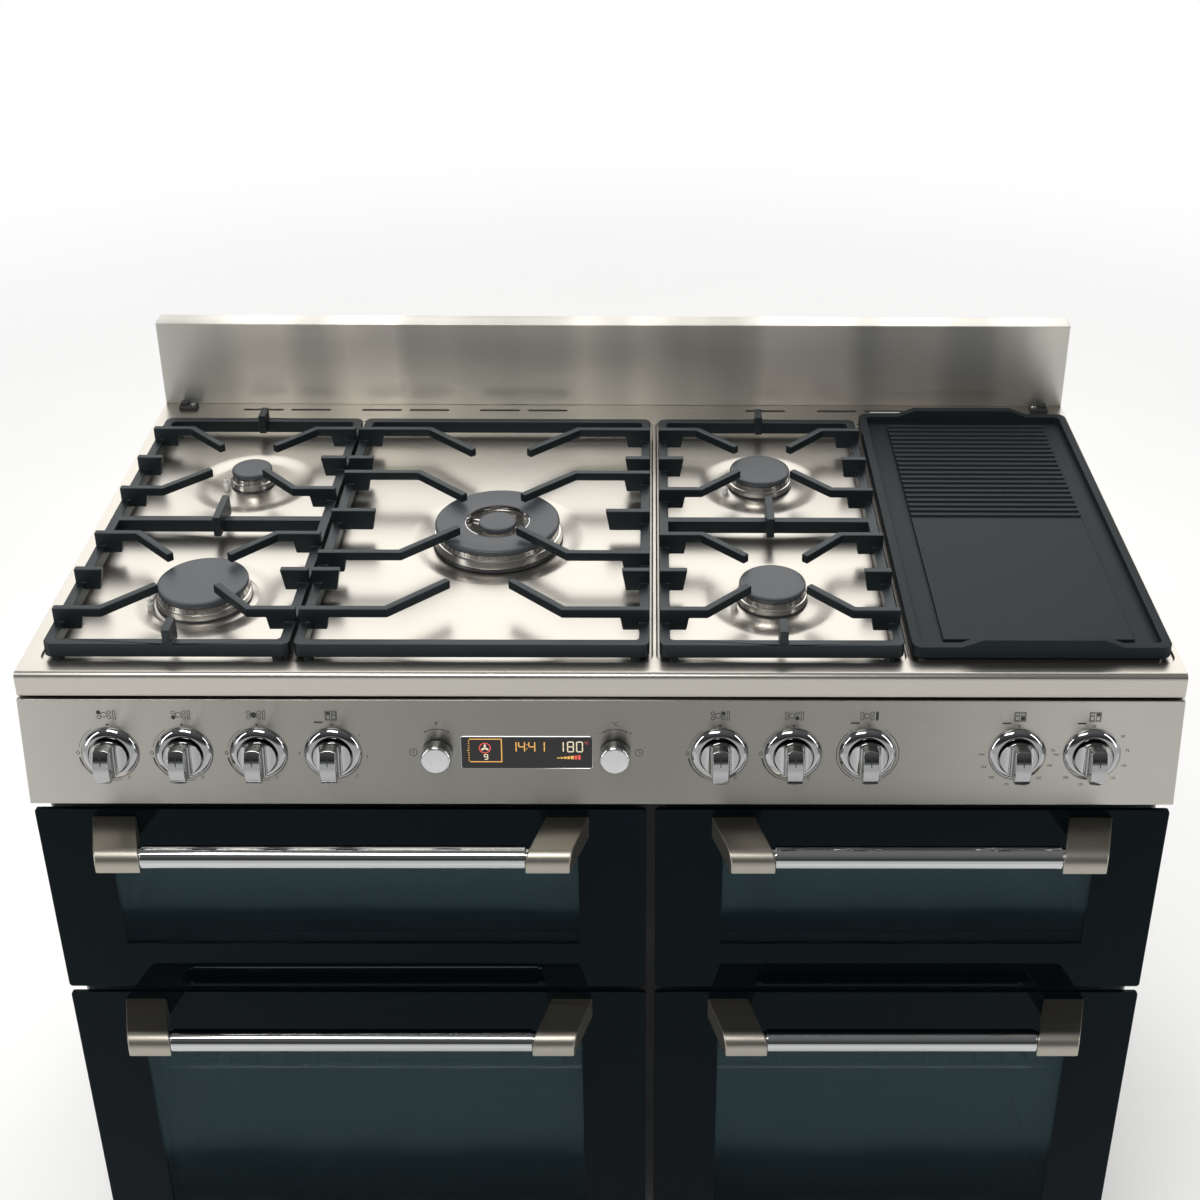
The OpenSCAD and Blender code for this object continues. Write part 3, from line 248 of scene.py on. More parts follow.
class Finish(Graph):
    """A material whose shader sockets take constants or wires."""

    def __init__(self, name, **constants):
        self.material = bpy.data.materials.new(name)
        self.material.use_nodes = True
        super().__init__(self.material.node_tree)
        self.shader = self.tree.nodes["Principled BSDF"]
        for key, value in constants.items():
            self.set(key, value)

    def set(self, key, value):
        self.feed(self.shader.inputs[key.replace("_", " ")], value)

    def spot(self, scale=(1, 1, 1)):
        """Object coordinates, in metres, stretched by a scale."""
        here = self.node("TexCoord", out=3)
        return self.node("Mapping", inputs={"Vector": here, "Scale": scale})

    def noise(self, scale, stretch=(1, 1, 1), detail=2.0):
        inputs = {"Vector": self.spot(stretch), "Scale": scale, "Detail": detail}
        return self.node("TexNoise", inputs=inputs)

    def bump(self, height, strength, distance):
        inputs = {"Height": height, "Strength": strength, "Distance": distance}
        self.set("Normal", self.node("Bump", inputs=inputs))


print("shader helpers ready")

# %% [markdown]
# The world outside the lights is plain. The camera sees it white, as the photograph's cut-out
# background is. Mirrors see it pale up to the horizon, with a dark wall and a dim ceiling above
# it, which gives chrome its dark and light parts. The floor is pale too, and it fades into the
# white at a distance.

# %% World and floor
world = bpy.data.worlds.new("studio")
bpy.context.scene.world = world
world.use_nodes = True
sky = Graph(world.node_tree)
sky.tree.nodes.clear()
ROOM_TONES = ((0.0, (0.86, 0.86, 0.85)), (0.50, (0.74, 0.74, 0.73)), (0.54, (0.24, 0.245, 0.25)),
              (0.62, (0.035, 0.037, 0.04)), (1.0, (0.22, 0.22, 0.22)))
upward = sky.node("SeparateXYZ", inputs={0: sky.node("TexCoord")}, out=2)
room = sky.ramp(upward * 0.5 + 0.5, *ROOM_TONES)
camera_ray, glass_ray, mirror_ray = (sky.node("LightPath", out=f"Is {kind} Ray")
                                     for kind in ("Camera", "Transmission", "Glossy"))
lit = sky.between(mirror_ray, (0.62, 0.62, 0.62), room)
seen = sky.between(camera_ray.most(glass_ray), lit, (1, 1, 1))
sky.node("OutputWorld", inputs={0: sky.node("Background", inputs={"Color": seen})})

FADE_START, FADE_END = 1.3, 4.2
floor_finish = Finish("studio_floor", Roughness=0.6, Specular_IOR_Level=0.2)
faint = floor_finish.noise(3.0)
floor_tone = floor_finish.between(faint, (0.88, 0.88, 0.875), (0.93, 0.93, 0.925))
floor_finish.set("Base_Color", floor_tone)
floor_spot = floor_finish.node("TexCoord", out=3)
reach = floor_finish.node("VectorMath", {"operation": "LENGTH"}, {0: floor_spot}, out=1)
fade = {"Value": reach, "From Min": FADE_START, "From Max": FADE_END, "To Min": 1, "To Max": 0}
floor_finish.set("Alpha", floor_finish.node("MapRange", {"interpolation_type": "SMOOTHSTEP"}, fade))
floor_mesh = bmesh.new()
bmesh.ops.create_grid(floor_mesh, x_segments=8, y_segments=8, size=9)
floor_data = bpy.data.meshes.new("studio_floor")
floor_mesh.to_mesh(floor_data)
floor_mesh.free()
floor_data.materials.append(floor_finish.material)
floor = bpy.data.objects.new("studio_floor", floor_data)
bpy.context.scene.collection.objects.link(floor)
floor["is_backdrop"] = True
print("floor fades from", FADE_START, "to", FADE_END, "m")

# %% [markdown]
# ## Metal finishes
#
# Brushed stainless steel is a mirror scratched in one direction. A noise that is long in X
# and very fine in Y and Z gives the grain, and it drives the roughness and a tiny bump, so
# reflections smear across the grain. A wide, faint noise keeps large sheets from looking
# dead flat. The panel has painted shade in the middle and painted light at its ends, and the
# splashback has soft upright bands of painted reflection, as in the photograph. Chrome is
# nearly smooth, with a breath of smudges in the roughness.

# %% Metals
def brushed(name, light, dark, rough, grain=(5, 2600, 2600)):
    metal = Finish(name, Metallic=1.0)
    metal.lines = metal.noise(1.0, grain, 1.0)
    clouds = metal.noise(1.6, (1, 1, 1), 1.0)
    if light:
        metal.set("Base_Color", metal.between(metal.lines * 0.6 + clouds * 0.4, dark, light))
    metal.set("Roughness", metal.lines * 0.14 + clouds * 0.06 + (rough - 0.1))
    metal.bump(metal.lines, 0.3, 0.00002)
    return metal


def polished(name, tone, rough, wear=0.03):
    metal = Finish(name, Metallic=1.0)
    smudge = metal.noise(60.0, (1, 1, 1), 3.0)
    metal.set("Base_Color", metal.between(smudge, tone, tuple(v * 0.93 for v in tone)))
    metal.set("Roughness", smudge * wear + rough)
    return metal


steel = brushed("brushed_steel", (0.57, 0.545, 0.50), (0.48, 0.46, 0.42), 0.31)
front_steel = brushed("front_steel", None, None, 0.34)
splash_steel = brushed("splash_steel", None, None, 0.40)
for metal in (front_steel, splash_steel):
    metal.set("Anisotropic", 0.75)
    metal.set("Anisotropic_Rotation", 0.25)
HALF_WIDTH = 0.55
# The panel's colour is painted darker in the middle and lighter towards its ends: painted shade and
# light, loosened by a wide noise and the grain.
across = front_steel.node("SeparateXYZ", inputs={0: front_steel.node("TexCoord", out=3)})
painted_sheen = front_steel.noise(1.0, (3.0, 0.4, 0.4), 1.0)
painted_end_light = across.maths("ABSOLUTE", across) * (1 / HALF_WIDTH) + (painted_sheen - 0.5) * 0.5
painted_end_light = painted_end_light + (front_steel.lines - 0.5) * 0.12
painted_panel_tones = ((0.12, (0.26, 0.252, 0.229)), (0.55, (0.34, 0.33, 0.30)),
               (0.95, (0.55, 0.535, 0.49)))
front_steel.set("Base_Color", front_steel.ramp(painted_end_light, *painted_panel_tones))
# Upright bands of light and dark in the splashback's colour are painted reflections of the studio.
painted_reflection_bands = splash_steel.noise(1.0, (9.0, 0.5, 0.8), 1.5)
painted_reflection_tones = ((0.32, (0.46, 0.455, 0.42)), (0.5, (0.62, 0.605, 0.555)), (0.62, (0.87, 0.83, 0.76)))
splash_steel.set("Base_Color", splash_steel.ramp(painted_reflection_bands, *painted_reflection_tones))
casing = brushed("casing_grey", (0.30, 0.30, 0.295), (0.25, 0.25, 0.25), 0.45, (300, 300, 300))
casing.set("Metallic", 0.35)
zinc = brushed("galvanised", (0.60, 0.61, 0.62), (0.47, 0.48, 0.50), 0.42, (60, 60, 60))
chrome = polished("chrome", (0.58, 0.59, 0.60), 0.035)
# A darker copy of the chrome for the knobs, their rings and the display frame: painted shade that
# stands in for the dark room the knobs reflect.
chrome_painted_darker = polished("chrome_painted_darker", (0.42, 0.425, 0.43), 0.035)
rack_wire = polished("wire_chrome", (0.82, 0.82, 0.80), 0.22, 0.08)
nickel = brushed("satin_nickel", (0.44, 0.415, 0.36), (0.35, 0.33, 0.285), 0.36, (9, 1400, 1400))
alloy = brushed("burner_alloy", (0.72, 0.70, 0.665), (0.62, 0.60, 0.57), 0.24, (60, 60, 1500))
brass = polished("brass", (0.74, 0.56, 0.30), 0.25, 0.1)
sheath = polished("element", (0.20, 0.18, 0.165), 0.42, 0.1)
print("metals:", steel.material.name, chrome.material.name, nickel.material.name)

# %% [markdown]
# ## Enamel, iron, glass and rubber
#
# The pan supports are cast iron under matt enamel: nearly black with a little blue, and
# grainy to the touch. The burner caps wear a smoother, greyer enamel. The ovens are lined
# with speckled enamel. The small parts are moulded plastic and rubber.

# %% Dark finishes
def coated(name, tone, rough, grain, depth, speckle=None):
    coat = Finish(name)
    pores = coat.noise(grain, (1, 1, 1), 4.0)
    drift = coat.noise(9.0, (1, 1, 1), 2.0)
    deep = tuple(v * 0.72 for v in tone)
    base = coat.between(pores * 0.5 + drift * 0.5, deep, tone)
    if speckle:
        dots = coat.node("TexVoronoi", inputs={"Vector": coat.spot(), "Scale": 420.0})
        mask = dots.maths("LESS_THAN", dots, 0.16)
        base = coat.between(mask, base, speckle)
    coat.set("Base_Color", base)
    coat.set("Roughness", pores * 0.18 + (rough - 0.09))
    coat.bump(pores, 0.5, depth)
    return coat


iron = coated("cast_iron", (0.006, 0.0085, 0.0105), 0.42, 650.0, 0.00012)
griddle_iron = coated("griddle_iron", (0.006, 0.0095, 0.012), 0.58, 500.0, 0.0002)
griddle_iron.set("Specular_IOR_Level", 0.34)
for cast in (iron, griddle_iron):
    cast.set("Specular_Tint", (0.78, 0.93, 1.0))
cap_enamel = coated("cap_enamel", (0.055, 0.063, 0.072), 0.42, 900.0, 0.00008)
oven_enamel = coated("enamel", (0.045, 0.052, 0.06), 0.32, 120.0, 0.00002, (0.20, 0.21, 0.22))
front_dark_coat = coated("front_dark_coat", (0.011, 0.014, 0.016), 0.40, 120.0, 0.0001)
plastic = coated("black_plastic", (0.022, 0.022, 0.023), 0.42, 1400.0, 0.00006)
rubber = coated("seal_rubber", (0.03, 0.03, 0.031), 0.70, 800.0, 0.0001)
display_black = coated("display_black", (0.006, 0.0065, 0.007), 0.11, 40.0, 0.000002)
ceramic_black = coated("hob_glass", (0.012, 0.012, 0.013), 0.14, 50.0, 0.000002)
base_ring_enamel = coated("base_ring", (0.03, 0.031, 0.033), 0.34, 700.0, 0.00005)
ceramic_white = coated("ceramic", (0.80, 0.79, 0.75), 0.35, 500.0, 0.00003)
ink = coated("printed_ink", (0.018, 0.018, 0.019), 0.5, 2000.0, 0.000005)
print("dark finishes ready")

# %% [markdown]
# ## Door glass
#
# Each door is one sheet of dark glass with a black print around its window. The print is the
# same glass, only opaque, so one material does both: four distances to the window's sides
# make a mask, and the mask drives the opacity and the colour. The mask's edge is sharp, because
# a metre of distance is turned into 1500 steps. The window has a green-blue tint with a painted
# reflection that makes it lighter towards the top, under the handle. The inner pane is clear all
# over.

# %% Glass
BORDER_SIDE, BORDER_LOW, BORDER_HIGH = 67, 58, 60
WINDOW_TINT_AND_REFLECTION = ((0.0, (0.003, 0.007, 0.009)), (0.36, (0.008, 0.018, 0.021)),
                (0.46, (0.036, 0.062, 0.070)), (1.0, (0.046, 0.080, 0.090)))


def door_glass_finish(name, x0, x1, z0, z1, y_back):
    glass = Finish(name, Specular_IOR_Level=0.07, Specular_Tint=(0.55, 0.85, 1.0))
    here = glass.node("TexCoord", out=3)
    x, y, z = (glass.node("SeparateXYZ", inputs={0: here}, out=i) for i in range(3))
    inside = (x - x0).least(x1 - x).least((z - z0).least(z1 - z))
    window = inside.maths("MULTIPLY_ADD", inside, 1500.0, 0.5).least(1.0).most(0.0)
    inner_pane = y.maths("GREATER_THAN", y, y_back)
    clear = window.most(inner_pane)
    # The window's colour grows lighter towards the top: a painted reflection over the green-blue
    # tint.
    height = ((z - z0) * (1 / (z1 - z0))).least(1.0).most(0.0)
    haze = glass.noise(7.0, (1, 1, 1), 1.0)
    tint_and_reflection = glass.ramp(height + (haze - 0.5) * 0.08, *WINDOW_TINT_AND_REFLECTION)
    glass.set("Base_Color", glass.between(clear, (0.0012, 0.0025, 0.0035), tint_and_reflection))
    glass.set("Alpha", 1 - clear * 0.68)
    glass.set("Roughness", haze * 0.02 + 0.02)
    return glass


glass_finish = {}
for kind, (x0, x1, z0, z1) in DOORS.items():
    window = (x0 + BORDER_SIDE, x1 - BORDER_SIDE, z0 + BORDER_LOW, z1 - BORDER_HIGH)
    window = [v * MM for v in window]
    glass_finish[kind] = door_glass_finish(kind + "_door_glass", *window, place(0, 5, 0).y)
print("glass:", list(glass_finish))

# %% [markdown]
# ## A finish for every CAD node
#
# Most hidden parts keep their CAD shape: casing, ovens, fans, valves and frame. The record
# names the material slot of every node, so one table from slot to finish dresses them all.

# %% Dress the frame
SLOT_FINISH = {
    "brushed_steel": steel, "casing_grey": casing, "galvanised": zinc, "black_plastic": plastic,
    "display_black": display_black, "chrome": chrome, "enamel": oven_enamel, "cast_iron": iron,
    "cap_enamel": cap_enamel, "burner_alloy": alloy, "hob_glass": ceramic_black,
    "satin_nickel": nickel, "seal_rubber": rubber, "brass": brass, "element": sheath,
    "wire_chrome": rack_wire,
}
slot_of = {part["node"]: part["material_slot"] for part in frame["record"]["subparts"]}


def dress(thing, material):
    thing.data.materials.clear()
    thing.data.materials.append(material)


for node_name, cad_object in frame["nodes"].items():
    slot = slot_of[node_name]
    if slot == "door_glass":
        dress(cad_object, glass_finish[node_name.split("_")[0]].material)
    else:
        dress(cad_object, SLOT_FINISH[slot].material)
print("dressed", len(slot_of), "nodes")

# %% [markdown]
# ## Making pieces
#
# `spun` turns a profile around Z, as on a lathe. `finish_piece` turns a bmesh into an object:
# it marks the edges that should look crisp, gives the finish and fixes the piece to its CAD
# body. A weighted-normal modifier keeps flat faces flat between rounded edges. `cad_copy` takes
# the shape of a CAD node, and `soften` rounds its edges without leaving its box.

# %% Piece helpers
made_pieces = []


def finish_piece(name, mesh, finish, body, crisp=35, weighted=True):
    wide = [f for f in mesh.faces if len(f.verts) > 4]
    bmesh.ops.triangulate(mesh, faces=wide)
    for face in mesh.faces:
        face.smooth = True
    for edge in mesh.edges:
        edge.smooth = not (edge.is_manifold and edge.calc_face_angle(0) > radians(crisp))
    data = bpy.data.meshes.new(name)
    mesh.to_mesh(data)
    mesh.free()
    data.materials.append(finish.material)
    piece = bpy.data.objects.new(name, data)
    bpy.context.scene.collection.objects.link(piece)
    if weighted:
        normals = piece.modifiers.new("even_normals", "WEIGHTED_NORMAL")
        normals.keep_sharp = True
    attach(piece, body)
    made_pieces.append(piece)
    return piece


def spun(profile, steps):
    mesh = bmesh.new()
    points = [mesh.verts.new((r * MM, 0, z * MM)) for r, z in profile]
    lines = [mesh.edges.new(pair) for pair in zip(points, points[1:])]
    bmesh.ops.spin(mesh, geom=points + lines, axis=(0, 0, 1), cent=(0, 0, 0), dvec=(0, 0, 0),
                   angle=2 * pi, steps=steps, use_merge=True)
    bmesh.ops.remove_doubles(mesh, verts=mesh.verts, dist=1e-6)
    bmesh.ops.recalc_face_normals(mesh, faces=mesh.faces)
    return mesh


def moved(mesh, matrix):
    bmesh.ops.transform(mesh, matrix=matrix, verts=mesh.verts)
    return mesh


def joined(*meshes):
    """Puts several bmeshes into the first one."""
    whole = meshes[0]
    for part in meshes[1:]:
        carrier = bpy.data.meshes.new("carrier")
        part.to_mesh(carrier)
        part.free()
        whole.from_mesh(carrier)
        bpy.data.meshes.remove(carrier)
    return whole


def brick(width, depth, tall, matrix, soft=0.0, segments=2):
    """A box with its edges rounded, sizes in millimetres, centred on a matrix."""
    mesh = bmesh.new()
    bmesh.ops.create_cube(mesh, size=1)
    bmesh.ops.scale(mesh, vec=Vector((width, depth, tall)) * MM, verts=mesh.verts)
    if soft:
        bmesh.ops.bevel(mesh, geom=mesh.edges[:], offset=soft * MM, offset_type="OFFSET",
                        segments=segments, profile=0.5, affect="EDGES", material=-1)
    return moved(mesh, matrix)


def cad_copy(node_name, parted=False):
    """The merged shape of a CAD node, with the triangles of flat faces joined up.

    A parting cut through the middle keeps a ring-shaped face from closing on itself.
    """
    mesh = bmesh.new()
    mesh.from_mesh(frame["nodes"][node_name].data)
    bmesh.ops.remove_doubles(mesh, verts=mesh.verts, dist=2e-6)
    if parted:
        low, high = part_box(node_name)
        centre = (Vector(low) + Vector(high)) / 2 + Vector((1.3, 0, 0)) * MM
        everything = mesh.verts[:] + mesh.edges[:] + mesh.faces[:]
        cut = bmesh.ops.bisect_plane(mesh, geom=everything, dist=1e-6, plane_co=centre,
                                     plane_no=(1, 0, 0))
        for part in cut["geom_cut"]:
            if isinstance(part, bmesh.types.BMEdge):
                part.seam = True
    bmesh.ops.dissolve_limit(mesh, angle_limit=radians(0.5), use_dissolve_boundaries=False,
                             verts=mesh.verts, edges=mesh.edges, delimit={"SEAM"})
    return mesh


def soften(mesh, width, segments=2, sharper=30, softer=180, where=None):
    """Rounds the edges whose faces meet at an angle between two limits."""
    chosen = [e for e in mesh.edges if e.is_manifold
              and radians(sharper) < e.calc_face_angle(0) <= radians(softer)
              and (where is None or where(e))]
    reach = []
    for axis in range(3):
        spread = [v.co[axis] for v in mesh.verts]
        reach.append((min(spread), max(spread)))
    bmesh.ops.bevel(mesh, geom=chosen, offset=width * MM, offset_type="OFFSET", segments=segments,
                    profile=0.5, affect="EDGES", clamp_overlap=False, material=-1)
    for vert in mesh.verts:
        vert.co = Vector([min(max(v, low), high) for v, (low, high) in zip(vert.co, reach)])
    return mesh


print("piece helpers ready")

# %% [markdown]
# ## The hob plate
#
# The hob is one pressed sheet: two wells for the pan supports, one for the griddle, and a
# shallow dish round each burner. Pressing leaves no sharp corner, so we take the CAD sheet
# and round it in two steps, the dishes widely and the edges of the wells tightly.

# %% Hob plate
def in_wells(edge, lowest):
    """Level edges of the pressed top, away from the rail, the vents and the underside."""
    first, second = (v.co for v in edge.verts)
    middle = (first + second) / 2
    level = abs(first.z - second.z) < 0.0001
    pressed = abs(middle.x) < 0.546 and -0.25 < middle.y < 0.266
    return level and pressed and middle.z > lowest * MM


DISH_LOW, WELL_LOW = HOB_Z - 6.5, HOB_Z - 3.5
hob_mesh = cad_copy("hob_plate")
soften(hob_mesh, 3.5, 3, sharper=6, softer=20, where=lambda e: in_wells(e, DISH_LOW))
soften(hob_mesh, 0.9, 3, sharper=40, where=lambda e: in_wells(e, WELL_LOW))
hob_top = finish_piece("hob_top", hob_mesh, steel, "cooker_body")
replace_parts(hob_top, "hob_plate")
print("hob faces:", len(hob_top.data.polygons))

# %% [markdown]
# ## Panel, splashback and their edges
#
# The control panel and the splashback are folded sheet. A fold has a small radius that
# catches a line of light, and that line is what tells the eye that this is sheet metal.

# %% Folded sheets
for cad_name, piece_name, width, sheet_finish in (
        ("control_panel", "panel_sheet", 0.8, front_steel),
        ("splashback", "splashback_sheet", 1.0, splash_steel)):
    rim = max(abs(v.co.x) for v in frame["nodes"][cad_name].data.vertices) - 0.0001

    def is_fold(edge):
        return edge.calc_length() > 0.15 or min(abs(v.co.x) for v in edge.verts) > rim

    sheet_mesh = soften(cad_copy(cad_name), width, 3, sharper=40, where=is_fold)
    sheet_piece = finish_piece(piece_name, sheet_mesh, sheet_finish, "cooker_body")
    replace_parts(sheet_piece, cad_name)
    print(piece_name, len(sheet_piece.data.polygons), "faces")

# %% [markdown]
# ## Pan supports and griddle
#
# Castings leave the mould with rounded edges. The CAD supports have the exact bars, webs and
# fingers, and a bevel of about a millimetre gives them the soft highlights of enamelled iron.
# The edges of the feet, which stand on the plate, stay sharp.

# %% Castings
BASE_TOP = HOB_Z + 3.2


def above_base(edge):
    return min(v.co.z for v in edge.verts) > BASE_TOP * MM


for cad_name, width, cast_finish in (
        ("pan_support_left", 1.1, iron), ("pan_support_middle", 1.1, iron),
        ("pan_support_right", 1.1, iron), ("griddle_plate", 0.8, griddle_iron)):
    cast_mesh = soften(cad_copy(cad_name, parted=True), width, 2, sharper=32, where=above_base)
    cast_piece = finish_piece(cad_name + "_casting", cast_mesh, cast_finish, cad_name)
    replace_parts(cast_piece, cad_name)
    print(cast_piece.name, len(cast_piece.data.polygons), "faces")

# %% [markdown]
# ## Burners
#
# A burner is a dark base ring on the hob, a polished alloy head with a crown of small slots
# where the flames come out, and an enamelled cap. The head is spun from its profile. Then
# every fifth face of its band is pushed in to make the slots. An ignition pin stands beside it.
# Each burner is listed by its place and the radius of its cap.

# %% Burner parts
BURNERS = {
    "rear_left": (-403, 376, 22), "front_left": (-403, 138, 45),
    "rear_right": (167, 376, 33.5), "front_right": (167, 138, 33.5),
}
SEAT_Z, CAP_LOW, CAP_HIGH = 896, 911, 917
SLOT_PITCH, FACES_PER_SLOT = 7.0, 5


def slotted(mesh, low, high, deep):
    """Pushes every fifth face of the band between two heights inwards."""
    band = [f for f in mesh.faces if low * MM < f.calc_center_median().z < high * MM
            and abs(f.normal.z) < 0.3]
    band.sort(key=lambda f: atan2(f.calc_center_median().y, f.calc_center_median().x))
    bmesh.ops.inset_individual(mesh, faces=band[::FACES_PER_SLOT], thickness=0.0001,
                               depth=-deep * MM)
    return mesh


def burner_head(r):
    profile = [(r - 9, 2.4), (r + 1.6, 2.5), (r + 2.4, 2.9), (r + 2.6, 3.6), (r + 1.7, 8.3),
               (r + 1.2, 8.7), (r + 0.2, 8.9), (r - 0.1, 9.3), (r - 0.3, 10.6), (r - 0.9, 14.3),
               (r - 1.6, 14.8), (r - 9, 14.9)]
    slots = round(2 * pi * r / SLOT_PITCH)
    return slotted(spun(profile, steps=slots * FACES_PER_SLOT), 11, 14, 1.8)


def burner_cap(r):
    thick = CAP_HIGH - CAP_LOW
    profile = [(0, 0), (r - 1.2, 0), (r - 0.3, 0.5), (r, 1.4), (r, thick - 2.2),
               (r - 0.6, thick - 0.9), (r - 1.9, thick - 0.2), (r - 4.5, thick - 0.05),
               (0, thick - 0.4)]
    return spun(profile, steps=96)


def base_ring(r):
    profile = [(r - 8, -0.6), (r + 2.4, -1.0), (r + 2.8, -0.4), (r + 1.4, 2.5), (r - 8, 2.5)]
    return spun(profile, steps=72)


PIN = [(0, 0), (3.2, 0), (3.2, 7), (2.2, 8), (2.0, 13), (0, 13.3)]
PIN_TIP = [(0, 13), (0.7, 13), (0.7, 15.6), (0, 16)]
PIN_SIDE = radians(200)
head_meshes, cap_meshes, ring_meshes, pin_meshes, tip_meshes = [], [], [], [], []
for x, y, r in BURNERS.values():
    seat = at(x, y, SEAT_Z)
    head_meshes.append(moved(burner_head(r), seat))
    cap_meshes.append(moved(burner_cap(r), at(x, y, CAP_LOW)))
    ring_meshes.append(moved(base_ring(r), seat))
    foot = at(x + (r + 8) * cos(PIN_SIDE), y + (r + 8) * sin(PIN_SIDE), SEAT_Z - 2)
    pin_meshes.append(moved(spun(PIN, 20), foot))
    tip_meshes.append(moved(spun(PIN_TIP, 12), foot))
print("burners:", list(BURNERS))

# %% [markdown]
# The wok burner is a ring with a second small burner in its middle. Its ring cap is slightly
# dished, with a bright rounded rim and a thin lip round the hole. Under it stand a crown of
# slots, a polished cone and the base ring, and one arm carries the gas to the middle.

# %% Wok burner
wok_x, wok_y, wok_r, wok_hole, core_r = -118, 257, 66, 33, 20
seat = at(wok_x, wok_y, SEAT_Z)
crown = [(wok_r - 14, 2.4), (wok_r + 1.8, 2.5), (wok_r + 2.6, 2.9), (wok_r + 2.8, 3.6),
         (wok_r + 1.2, 10.0), (wok_r + 0.6, 10.4), (wok_r - 0.6, 10.7), (wok_r - 0.8, 12.0),
         (wok_r - 1.2, 16.2), (wok_r - 3, 16.9), (wok_hole + 3, 16.9), (wok_hole + 1, 15),
         (wok_hole + 1, 3.2), (wok_hole - 4, 3.0), (0, 3.0), (0, 1.5)]
head_meshes.append(moved(slotted(spun(crown, steps=58 * FACES_PER_SLOT), 13, 16, 1.8), seat))
core = [(0, 2.9), (core_r + 1.5, 2.9), (core_r + 0.8, 6.5), (core_r - 0.8, 8.6),
        (core_r - 1.5, 9.4), (core_r - 1.5, 15.2), (core_r - 3, 15.9), (0, 15.9)]
head_meshes.append(moved(slotted(spun(core, steps=16 * FACES_PER_SLOT), 11, 15, 1.6), seat))
arm_turn = seat @ Matrix.Rotation(radians(152), 4, "Z")
for size, spot, soft in (((18, 9, 4), (26.5, 0, 11.8), 0.9), ((15, 3, 3), (26, 0, 14.6), 0.6)):
    arm_place = arm_turn @ Matrix.Translation(Vector(spot) * MM)
    head_meshes.append(brick(*size, arm_place, soft))
ring_cap = [(wok_hole + 0.2, 0.3), (wok_r - 1.0, 0), (wok_r - 0.2, 0.8), (wok_r, 2.0),
            (wok_r - 0.4, 4.4), (wok_r - 1.6, 5.6), (wok_r - 3.4, 6.0), (wok_r - 6.0, 5.6),
            (wok_r - 13, 4.6), (wok_hole + 9, 3.9), (wok_hole + 3.0, 4.1), (wok_hole + 1.0, 4.3),
            (wok_hole + 0.2, 3.9), (wok_hole + 0.2, 0.3)]
cap_meshes.append(moved(spun(ring_cap, steps=128), at(wok_x, wok_y, CAP_LOW + 2)))
cap_meshes.append(moved(burner_cap(core_r), at(wok_x, wok_y, CAP_LOW + 1)))
lip = [(wok_hole + 0.3, 3.4), (wok_hole + 1.2, 4.5), (wok_hole + 0.5, 4.8), (wok_hole - 0.1, 4.3),
       (wok_hole - 0.1, 0.6), (wok_hole + 0.3, 0.6), (wok_hole + 0.3, 3.4)]
lip_mesh = moved(spun(lip, steps=96), at(wok_x, wok_y, CAP_LOW + 2))
wok_ring = [(40, -0.6), (wok_r + 2.8, -1.2), (wok_r + 3.2, -0.4), (wok_r + 1.6, 2.5), (40, 2.5)]
ring_meshes.append(moved(spun(wok_ring, steps=96), seat))
heads = finish_piece("burner_crowns", joined(*head_meshes), alloy, "cooker_body")
caps = finish_piece("burner_lids", joined(*cap_meshes), cap_enamel, "cooker_body")
finish_piece("burner_base_rings", joined(*ring_meshes), base_ring_enamel, "cooker_body")
finish_piece("igniter_pins", joined(*pin_meshes), ceramic_white, "cooker_body")
finish_piece("igniter_tips", joined(*tip_meshes), chrome, "cooker_body")
finish_piece("wok_cap_lip", lip_mesh, chrome, "cooker_body")
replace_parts(heads, "burner_heads")
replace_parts(caps, "burner_caps")
print("burner faces:", len(heads.data.polygons) + len(caps.data.polygons))

# %% [markdown]
# ## Knobs and their rings
#
# A knob is a chrome barrel whose upper half is scooped away on both sides of a grip. The CAD
# knob has that shape, and a fine bevel gives its edges their bright lines. The ring around it
# is a flared dome, spun from its profile. A thin line on the grip shows where it points: it lies
# on the grip's arc of 30 mm radius, at 8 mm above the axis.

# %% Knobs
KNOBS = {
    "gas_knob_rear_left": -467.5, "gas_knob_front_left": -397.5, "gas_knob_wok": -326.8,
    "gas_knob_rear_right": 111, "gas_knob_front_right": 181, "grill_knob": -256.3,
    "hot_zone_knob": 252, "tall_oven_knob": 394.7, "small_oven_knob": 466,
}
GRIP_ARC, MARK_UP = 30, 8
mark_out = 2 + sqrt(GRIP_ARC ** 2 - MARK_UP ** 2)
bezel_profile = [(19.2, 0), (27.2, 0), (27.5, 0.5), (27.4, 1.3), (26.3, 3.0), (24.3, 4.7),
                 (22.0, 5.7), (20.6, 6.0), (19.6, 5.8), (19.2, 5.2), (19.2, 0)]
bezels = joined(*[moved(spun(bezel_profile, 96), on_panel(x, KNOB_DOWN)) for x in KNOBS.values()])
bezel_piece = finish_piece("bezel_rings", bezels, chrome_painted_darker, "cooker_body")
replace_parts(bezel_piece, "knob_bezels")
for cad_name, x in KNOBS.items():
    knob_mesh = soften(cad_copy(cad_name), 0.7, 3, sharper=28)
    knob_piece = finish_piece(cad_name + "_chrome", knob_mesh, chrome_painted_darker, cad_name)
    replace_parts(knob_piece, cad_name)
    mark_place = on_panel(x, KNOB_DOWN, up=MARK_UP, out=mark_out) @ Matrix.Rotation(-0.27, 4, "X")
    mark = brick(0.9, 8.5, 0.25, mark_place, 0.05, 1)
    finish_piece(cad_name + "_mark", mark, ink, cad_name, weighted=False)
print("knobs:", len(KNOBS))

# %% [markdown]
# The two programmer knobs are small drums with a bright turned rim and a satin face.

